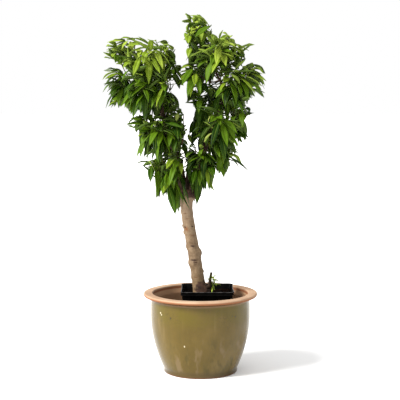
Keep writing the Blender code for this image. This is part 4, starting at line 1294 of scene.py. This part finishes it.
def crumb_tree():
    """Geometry Nodes: small uneven crumbs, scattered on the faces of a surface."""
    tree = bpy.data.node_groups.new("scattered_crumbs", "GeometryNodeTree")
    sockets = tree.interface
    sockets.new_socket("Geometry", in_out="INPUT", socket_type="NodeSocketGeometry")
    sockets.new_socket("Size", in_out="INPUT", socket_type="NodeSocketFloat")
    sockets.new_socket("Density", in_out="INPUT", socket_type="NodeSocketFloat")
    sockets.new_socket("Crumb paint", in_out="INPUT", socket_type="NodeSocketMaterial")
    sockets.new_socket("Geometry", in_out="OUTPUT", socket_type="NodeSocketGeometry")
    nodes, links = tree.nodes, tree.links
    given = nodes.new("NodeGroupInput")
    result = nodes.new("NodeGroupOutput")
    spread = nodes.new("GeometryNodeDistributePointsOnFaces")
    spread.inputs["Seed"].default_value = 5
    ball = nodes.new("GeometryNodeMeshIcoSphere")
    ball.inputs["Subdivisions"].default_value = 1
    turn = random_vector(nodes, (0.0,) * 3, (math.tau,) * 3, 11)
    stretch = random_vector(nodes, (0.45, 0.45, 0.30), (1.6, 1.2, 1.0), 12)
    place = nodes.new("GeometryNodeInstanceOnPoints")
    real = nodes.new("GeometryNodeRealizeInstances")
    paint = nodes.new("GeometryNodeSetMaterial")
    links.new(given.outputs["Geometry"], spread.inputs["Mesh"])
    links.new(given.outputs["Density"], spread.inputs["Density"])
    links.new(given.outputs["Size"], ball.inputs["Radius"])
    links.new(spread.outputs["Points"], place.inputs["Points"])
    links.new(ball.outputs["Mesh"], place.inputs["Instance"])
    links.new(turn, place.inputs["Rotation"])
    links.new(stretch, place.inputs["Scale"])
    links.new(place.outputs["Instances"], real.inputs["Geometry"])
    links.new(real.outputs["Geometry"], paint.inputs["Geometry"])
    links.new(given.outputs["Crumb paint"], paint.inputs["Material"])
    links.new(paint.outputs["Geometry"], result.inputs["Geometry"])
    return tree


def random_vector(nodes, low, high, seed):
    node = nodes.new("FunctionNodeRandomValue")
    node.data_type = "FLOAT_VECTOR"
    node.inputs["Min"].default_value = low
    node.inputs["Max"].default_value = high
    node.inputs["Seed"].default_value = seed
    return node.outputs["Value"]


def scattered(name, mesh, tree, values):
    """The plain mesh that a Geometry Nodes tree makes of a mesh."""
    obj = bpy.data.objects.new(name + "_source", mesh)
    bpy.context.scene.collection.objects.link(obj)
    modifier = obj.modifiers.new("growth", "NODES")
    modifier.node_group = tree
    for item in tree.interface.items_tree:
        if item.item_type == "SOCKET" and item.in_out == "INPUT" and item.name in values:
            modifier[item.identifier] = values[item.name]
    graph = bpy.context.evaluated_depsgraph_get()
    made = bpy.data.meshes.new_from_object(obj.evaluated_get(graph))
    made.name = name
    bpy.data.objects.remove(obj)
    return made


def twig_tree():
    """Geometry Nodes: a round twig along every line of points, as thick at each point as
    its "thickness" says."""
    tree = bpy.data.node_groups.new("round_twigs", "GeometryNodeTree")
    sockets = tree.interface
    sockets.new_socket("Geometry", in_out="INPUT", socket_type="NodeSocketGeometry")
    sockets.new_socket("Sides", in_out="INPUT", socket_type="NodeSocketInt")
    sockets.new_socket("Bark paint", in_out="INPUT", socket_type="NodeSocketMaterial")
    sockets.new_socket("Geometry", in_out="OUTPUT", socket_type="NodeSocketGeometry")
    nodes, links = tree.nodes, tree.links
    given = nodes.new("NodeGroupInput")
    result = nodes.new("NodeGroupOutput")
    line = nodes.new("GeometryNodeMeshToCurve")
    thickness = nodes.new("GeometryNodeInputNamedAttribute")
    thickness.data_type = "FLOAT"
    thickness.inputs["Name"].default_value = "thickness"
    ring = nodes.new("GeometryNodeCurvePrimitiveCircle")
    ring.inputs["Radius"].default_value = 1.0
    tube = nodes.new("GeometryNodeCurveToMesh")
    tube.inputs["Fill Caps"].default_value = True
    real = nodes.new("GeometryNodeRealizeInstances")
    paint = nodes.new("GeometryNodeSetMaterial")
    links.new(given.outputs["Geometry"], line.inputs["Mesh"])
    links.new(given.outputs["Sides"], ring.inputs["Resolution"])
    links.new(line.outputs["Curve"], tube.inputs["Curve"])
    links.new(thickness.outputs["Attribute"], tube.inputs["Scale"])
    links.new(ring.outputs["Curve"], tube.inputs["Profile Curve"])
    links.new(tube.outputs["Mesh"], real.inputs["Geometry"])
    links.new(real.outputs["Geometry"], paint.inputs["Geometry"])
    links.new(given.outputs["Bark paint"], paint.inputs["Material"])
    links.new(paint.outputs["Geometry"], result.inputs["Geometry"])
    return tree


def make_twigs(name, limbs, steps, sides, material, tree, slot, *replaced):
    """Round twigs along limbs, each sunk into what carries it and swollen at its foot
    and at the nodes where its leaves sit."""
    points = []
    edges = []
    thickness = []
    for number, limb in enumerate(limbs):
        rng = random.Random(number)
        start = len(points)
        points.append(limb.foot - limb.direction(0.0) * (GAP + limb.thick * 0.8))
        thickness.append(limb.thick * 1.5)
        for step in range(steps + 1):
            t = step / steps
            wander = Vector([rng.uniform(-1, 1) for _ in range(3)]) * limb.thin * 0.25
            points.append(limb.point(t) + (wander if 0 < step < steps else Vector()))
            knot = 1.0 + 0.16 * (step % 2)
            thickness.append(limb.radius(t) * knot * (1.25 if step == 0 else 1.0))
        edges += [(i, i + 1) for i in range(start, len(points) - 1)]
    mesh = bpy.data.meshes.new(name + "_lines")
    mesh.from_pydata([tuple(point) for point in points], edges, [])
    attribute = mesh.attributes.new("thickness", "FLOAT", "POINT")
    attribute.data.foreach_set("value", thickness)
    made = scattered(name, mesh, tree, {"Sides": sides, "Bark paint": material})
    made.shade_smooth()
    finished(name, made, [material], slot, *replaced)


def trunk_skin_point(height, turn):
    """A point of the trunk's bark, and how burnt, how darkly cut and how old it is."""
    radius = trunk_radius(height, turn)
    centre = trunk_centre(height)
    out = Vector((math.cos(turn), math.sin(turn), 0.0))
    dark = 0.0
    for knob in KNOBS:
        distance = knob_distance(height, turn, radius, knob.height, knob.turn)
        eye = math.exp(-((distance / (knob.size * 0.52)) ** 2))
        ring = math.exp(-(((distance - knob.size * 0.55) / (knob.size * 0.22)) ** 2))
        radius += (ring * 0.30 - eye * 0.42) * knob.proud * knob.dark
        dark = max(dark, eye * knob.dark)
    burnt = 0.0
    for scar_height, scar_turn, half_width, half_height, darkness in SCARS:
        across = radius * math.remainder(turn - math.radians(scar_turn), math.tau)
        mark = math.exp(-1.3 * math.hypot(across / half_width, (height - scar_height) / half_height) ** 2)
        radius -= mark * 0.0009
        burnt = max(burnt, min(1.0, 1.5 * mark * (1.0 - darkness)))
        dark = max(dark, min(1.0, 1.5 * mark * darkness))
    place = Vector((out.x * radius, out.y * radius, height))
    long_grain = noise.noise(Vector((place.x * 190, place.y * 190, place.z * 45)))
    bands = noise.noise(Vector((place.x * 50, place.y * 50, place.z * 420)))
    lumps = noise.noise(place * 70)
    relief = long_grain * 0.00045 + bands * 0.00035 + lumps * 0.0009
    foot = math.exp(-(height - TRUNK_FOOT.z) / 0.014)
    relief += foot * 0.0022 * noise.noise(Vector((place.x * 130, place.y * 130, place.z * 60)))
    ragged = noise.noise(place * 120)
    fork = (height - OLD_WOOD_FROM) / 0.007 + ragged * 1.2
    crown_distance = knob_distance(height, turn, radius, ROOT_CROWN.height, ROOT_CROWN.turn)
    root_crown = (ROOT_CROWN.size - crown_distance) / 0.007 + ragged * 1.5
    old = min(1.0, max(0.0, fork, root_crown * ROOT_CROWN.dark))
    return centre + out * (radius + relief), burnt, min(1.0, dark * (0.95 + 0.4 * ragged)), old


def make_trunk():
    """The trunk's bark with its knobs and scars, closed by a rough hollow at the fork."""
    foot = TRUNK_FOOT.z - 0.004
    rings = []
    marks = []
    for step in range(TRUNK_SKIN_RINGS + 1):
        height = foot + (TRUNK_FORK.z + 0.003 - foot) * step / TRUNK_SKIN_RINGS
        found = [trunk_skin_point(height, math.tau * i / TRUNK_SKIN_SIDES) for i in range(TRUNK_SKIN_SIDES)]
        rings.append([point for point, _, _, _ in found])
        marks += [mark[1:] for mark in found]
    top = rings[-1]
    middle = sum(top, Vector()) / len(top)
    for share, rise in ((0.90, 0.002), (0.72, 0.0035), (0.45, 0.002), (0.18, 0.0)):
        ring = []
        for point in top:
            moved = middle.lerp(point, share)
            rough = noise.noise(moved * 140) * 0.002
            ring.append(moved + UP * (rise + rough))
        rings.append(ring)
        marks += [(0.0, 0.2, 1.0)] * TRUNK_SKIN_SIDES
    points, faces = rings_shape(rings)
    mesh = mesh_from("trunk_bark", points, faces)
    for index, name in enumerate(("burnt", "dark_cut", "old_wood")):
        attribute = mesh.attributes.new(name, "FLOAT", "POINT")
        attribute.data.foreach_set("value", [mark[index] for mark in marks])
    finished("trunk_bark", mesh, [tan_bark()], "bark", "trunk")


def make_bough_bark(limbs, material):
    """The two boughs' bark, lumpy, with swollen feet that run down into the trunk."""
    points = []
    faces = []
    for name in ("left_bough", "right_bough"):
        limb = limbs[name]
        rng = random.Random(name)
        buds = [(rng.uniform(0.08, 0.97), rng.uniform(0, math.tau), rng.uniform(0.0014, 0.0030)) for _ in range(34)]
        rings = []
        across = limb.direction(0.0).cross(Vector((0.0, 1.0, 0.0))).normalized()
        for step in range(-6, BOUGH_SKIN_RINGS + 1):
            t = step / BOUGH_SKIN_RINGS
            sunk = min(0.0, t) * 0.3
            centre = limb.point(max(t, 0.0)) + UP * sunk
            axis = limb.direction(max(t, 0.0))
            across = (across - axis * across.dot(axis)).normalized()
            over = axis.cross(across)
            away = max(t, 0.0) * 0.29
            radius = limb.radius(min(max(t, 0.0), 1.0)) * (1.0 + 0.10 * math.exp(-away / 0.014))
            ring = []
            for i in range(BOUGH_SKIN_SIDES):
                angle = math.tau * i / BOUGH_SKIN_SIDES
                out = across * math.cos(angle) + over * math.sin(angle)
                place = centre + out * radius
                relief = 0.0007 * noise.noise(place * 130) + 0.0009 * noise.noise(place * 45)
                for bud_t, bud_angle, size in buds:
                    around = math.remainder(angle - bud_angle, math.tau) * radius
                    distance = math.hypot((t - bud_t) * 0.29, around)
                    relief += size * 0.6 * math.exp(-((distance / size) ** 2) * 0.8)
                ring.append(centre + out * (radius + relief - 0.0003))
            rings.append(ring)
        grown, made = rings_shape(rings)
        low = len(points)
        points += grown
        faces += [tuple(low + i for i in face) for face in made]
    mesh = mesh_from("bough_bark", points, faces)
    finished("bough_bark", mesh, [material], "bark", "left_bough", "right_bough")


# Short pruned stubs: limb, place along it, turn in degrees and length
STUBS = (
    ("right_leader", 0.10, 190, 0.010), ("right_bough", 0.97, 35, 0.014), ("right_bough", 0.94, -50, 0.012),
    ("left_bough", 0.34, 200, 0.009), ("left_bough", 0.66, -40, 0.011), ("right_bough", 0.28, 170, 0.009),
    ("right_bough", 0.46, -30, 0.010), ("left_bough", 0.84, 10, 0.012),
)
# Dark old stub on the root crown: height, turn, tip and its radii at foot and tip
ROOT_STUB = (0.266, -28, Vector((0.0345, -0.010, 0.3170)), 0.0068, 0.0036)
# Dark old stub that stands up in the fork: foot, tip and its radii there
FORK_STUB = (Vector((-0.0452, 0.0, 0.5680)), Vector((-0.0400, -0.004, 0.6340)), 0.0105, 0.0046)
# Twiglets on the pruned knob at the fork: height, turn and length
KNOB_TWIGLETS = ((0.568, -35, 0.020), (0.556, -20, 0.015), (0.574, -50, 0.012))


def stub_limbs(limbs):
    stubs = []
    for name, along, turn, length in STUBS:
        foot, out = limbs[name].side(along, turn)
        tip = foot + (out + UP * 0.5).normalized() * length
        stubs.append(Limb(foot, out, tip, out + UP, 0.0016, 0.0010, 2))
    for height, turn, length in KNOB_TWIGLETS:
        foot, out = trunk_side(height, turn)
        tip = foot + (out + UP * 0.55).normalized() * length
        stubs.append(Limb(foot, out, tip, out + UP, 0.0013, 0.0008, 3))
    height, turn, tip, thick, thin = ROOT_STUB
    foot, out = trunk_side(height, turn)
    stubs.append(Limb(foot - out * thick, out, tip, out * 0.5 + UP, thick, thin, 6))
    foot, tip, thick, thin = FORK_STUB
    stubs.append(Limb(foot, UP, tip, UP, thick, thin, 6))
    return stubs


def blade_outline(t):
    """The share of its full width that a leaf has at t: a thin stalk, then the blade."""
    if t <= STALK_SHARE:
        return 0.05
    s = (t - STALK_SHARE) / (1.0 - STALK_SHARE)
    return max(0.05 * (1.0 - s), BLADE_WIDTH * 4.05 * s**0.85 * (1.0 - s) ** 1.15)


def blade_mesh(leaf, rng, points, faces, kinds, skin, under, rib):
    """Adds one leaf: an upper skin in two curved halves with a pale rib between, and a
    flatter lower skin. They meet at the margins, so the blade is closed."""
    low = len(points)
    wave = rng.uniform(0.0, math.tau)
    ripple = rng.uniform(0.3, 1.0) * 0.10
    twist = rng.uniform(-0.35, 0.35)
    for t in BLADE_STEPS:
        centre, side, upper = leaf_frame(leaf, t)
        turn, lift = math.cos(twist * t), math.sin(twist * t)
        side, upper = side * turn + upper * lift, upper * turn - side * lift
        half = max(leaf.width / 2 * blade_outline(t), 0.0005)
        rib_half = min(RIB_HALF_WIDTH, half * 0.5) * (1.15 - 0.6 * t)
        left_wave = ripple * half * math.sin(t * 17.0 + wave)
        right_wave = ripple * half * math.sin(t * 15.0 + wave * 1.7)
        margin = upper * half * LEAF_FOLD
        crown = upper * half * (LEAF_FOLD * 0.5 + 0.10)
        points.append(centre - side * half + margin + upper * left_wave)
        points.append(centre - side * half * 0.52 + crown + upper * left_wave * 0.3)
        points.append(centre - side * rib_half)
        points.append(centre + side * rib_half)
        points.append(centre + side * half * 0.52 + crown + upper * right_wave * 0.3)
        points.append(centre + side * half + margin + upper * right_wave)
        points.append(centre - upper * (BLADE_THICKNESS + rib_half * 0.9))
    row = 7
    for step in range(len(BLADE_STEPS) - 1):
        a = low + step * row
        b = a + row
        for i, kind in ((0, skin), (1, skin), (2, rib), (3, skin), (4, skin)):
            faces.append((a + i, b + i, b + i + 1, a + i + 1))
            kinds.append(kind)
        faces.append((a + 5, b + 5, b + 6, a + 6))
        faces.append((a + 6, b + 6, b, a))
        kinds += [under, under]
    faces.append((low, low + 1, low + 2, low + 3, low + 4, low + 5, low + 6))
    end = low + row * (len(BLADE_STEPS) - 1)
    faces.append((end + 6, end + 5, end + 4, end + 3, end + 2, end + 1, end))
    kinds += [rib, skin]


def leaf_shelter(sprays):
    """How far each leaf is shaded by the ones above it, from 0 to 1, by its root."""
    roots = [tuple(leaf.root) for spray in sprays for leaf, _, _ in spray.leaves]
    places = np.array(roots)
    shelter = {}
    for root, place in zip(roots, places):
        aside = np.linalg.norm(places[:, :2] - place[:2], axis=1)
        above = (places[:, 2] - place[2] > SHELTER_RISE) & (aside < SHELTER_REACH)
        shelter[root] = min(1.0, above.sum() / FULL_SHELTER)
    return shelter


def leaf_kind(leaf, u, shelter, tone, rng):
    """Which colour a leaf shows: older low on a shoot, darker with painted shade under
    other leaves, and alike over one spray. A young shoot's small leaves are all fresh."""
    # Leaf age, plus painted shade: the shelter term gives darker kinds to leaves under other leaves.
    age_and_shade = 0.25 + 0.45 * shelter - 0.36 * u + 0.16 * tone + rng.uniform(-0.20, 0.20)
    if leaf.length < LEAF_LENGTH * 0.4:
        age_and_shade = -0.12 + 0.3 * tone
    pale = rng.random() < YELLOWED_SHARE or (leaf.root - PALE_LEAF).length < PALE_REACH
    if pale:
        return "yellowed"
    if age_and_shade > 0.72:
        return "shaded"
    if age_and_shade > 0.48:
        return "deep"
    if age_and_shade > 0.22:
        return "full"
    return "fresh" if age_and_shade > -0.10 else "young"


def make_foliage(name, sprays, shelter, materials):
    """One piece of joined leaves from several masses, coloured by spray and shelter."""
    names = list(LEAF_KINDS)
    points = []
    faces = []
    kinds = []
    for spray in sprays:
        for index, (leaf, u, number) in enumerate(spray.leaves):
            tone = random.Random(spray.mass.seed * 77 + number).uniform(-1.0, 1.0)
            rng = random.Random(spray.mass.seed * 5000 + index)
            kind = leaf_kind(leaf, u, shelter[tuple(leaf.root)], tone, rng)
            lush = kind in ("fresh", "young", "yellowed")
            under = len(names) + (1 if lush else 0)
            rib = len(names) + 2 + (1 if lush else 0)
            blade_mesh(leaf, rng, points, faces, kinds, names.index(kind), under, rib)
    mesh = mesh_from(name, points, faces, kinds, outward=True)
    replaced = [spray.mass.name for spray in sprays]
    finished(name, mesh, materials, "foliage", *replaced)


def make_crown():
    limbs = make_limbs()
    stems = {mass.name: make_stem(mass, limbs) for mass in MASSES}
    crown = Crown(limbs, stems)
    spurs = make_spurs(limbs)
    groups = {}
    wood = []
    green = []
    for mass in MASSES:
        spray = grow_mass(mass, stems[mass.name], crown, spurs)
        wood.append(spray.stem)
        green += [twig for twig in spray.twigs if twig is not spray.stem]
        side, level = mass.name.split("_")[:2]
        groups.setdefault(side + "_" + level, []).append(spray)
    kinds = {**LEAF_KINDS, **UNDER_KINDS, **RIB_KINDS}
    materials = [leaf_paint("leaf_" + kind, *skin) for kind, skin in kinds.items()]
    shelter = leaf_shelter([spray for sprays in groups.values() for spray in sprays])
    for name, sprays in groups.items():
        make_foliage(name + "_leaves", sprays, shelter, materials)
    tree = twig_tree()
    bark = dark_bark()
    make_bough_bark(limbs, bark)
    make_twigs("leader_bark", [limbs["right_leader"]], 14, 16, bark, tree, "bark", "right_leader")
    red_bark = twig_bark("red_bark", (0.050, 0.018, 0.012), (0.110, 0.045, 0.028), 0.6)
    make_twigs("bare_twig_bark", [limbs["bare_twig"]], 12, 10, red_bark, tree, "bark", "bare_twig")
    stem_bark = twig_bark("stem_bark", (0.028, 0.014, 0.008), (0.065, 0.040, 0.018), 0.7)
    make_twigs("leafy_stems", wood, 9, 8, stem_bark, tree, "foliage")
    stub_bark = twig_bark("stub_bark", (0.007, 0.004, 0.003), (0.034, 0.019, 0.011), 0.8)
    make_twigs("pruned_stubs", stub_limbs(limbs), 3, 7, stub_bark, tree, "bark")
    green_bark = twig_bark("green_bark", (0.040, 0.060, 0.006), (0.080, 0.105, 0.014), 0.5)
    make_twigs("green_shoots", green, 5, 6, green_bark, tree, "foliage")
    count = sum(len(spray.leaves) for sprays in groups.values() for spray in sprays)
    print("leaves", count)


def make_camera():
    data = bpy.data.cameras.new("camera")
    data.lens = CAMERA_LENS
    data.sensor_width = SENSOR_WIDTH
    data.clip_start = 0.1
    data.clip_end = 100.0
    camera = bpy.data.objects.new("camera", data)
    camera.location = CAMERA_PLACE
    camera.rotation_euler = (math.radians(90 - CAMERA_PITCH), 0.0, 0.0)
    bpy.context.scene.collection.objects.link(camera)
    bpy.context.scene.camera = camera


def make_key_light():
    """One large soft light from the left and a little in front."""
    data = bpy.data.lights.new("key_light", "SUN")
    data.energy = KEY_STRENGTH
    data.angle = math.radians(KEY_SOFTNESS)
    data.color = (1.0, 0.985, 0.96)
    light = bpy.data.objects.new("key_light", data)
    light.rotation_euler = (-Vector(KEY_FROM)).to_track_quat("-Z", "Y").to_euler()
    bpy.context.scene.collection.objects.link(light)


def make_studio():
    """A pale floor that runs into a white surround."""
    mesh = mesh_from(
        "studio_floor",
        [(x * FLOOR_SIZE, y * FLOOR_SIZE, 0.0) for x, y in ((-1, -1), (1, -1), (1, 1), (-1, 1))],
        [(0, 1, 2, 3)],
        outward=False,
    )
    floor = bpy.data.objects.new("studio_floor", mesh)
    bpy.context.scene.collection.objects.link(floor)
    paint = Paint("pale_floor", (0.94, 0.94, 0.94), 0.9, Specular_IOR_Level=0.0)
    mesh.materials.append(paint.material)


def make_world():
    world = bpy.data.worlds.new("studio")
    world.use_nodes = True
    background = world.node_tree.nodes["Background"]
    background.inputs["Color"].default_value = (1.0, 1.0, 1.0, 1.0)
    background.inputs["Strength"].default_value = WORLD_STRENGTH
    bpy.context.scene.world = world


def main():
    bpy.context.scene.view_settings.view_transform = "Standard"
    make_camera()
    make_world()
    make_studio()
    make_key_light()
    make_glazed_pot()
    make_glaze_marks()
    make_nursery_pot()
    make_soil()
    make_trunk()
    make_crown()


main()
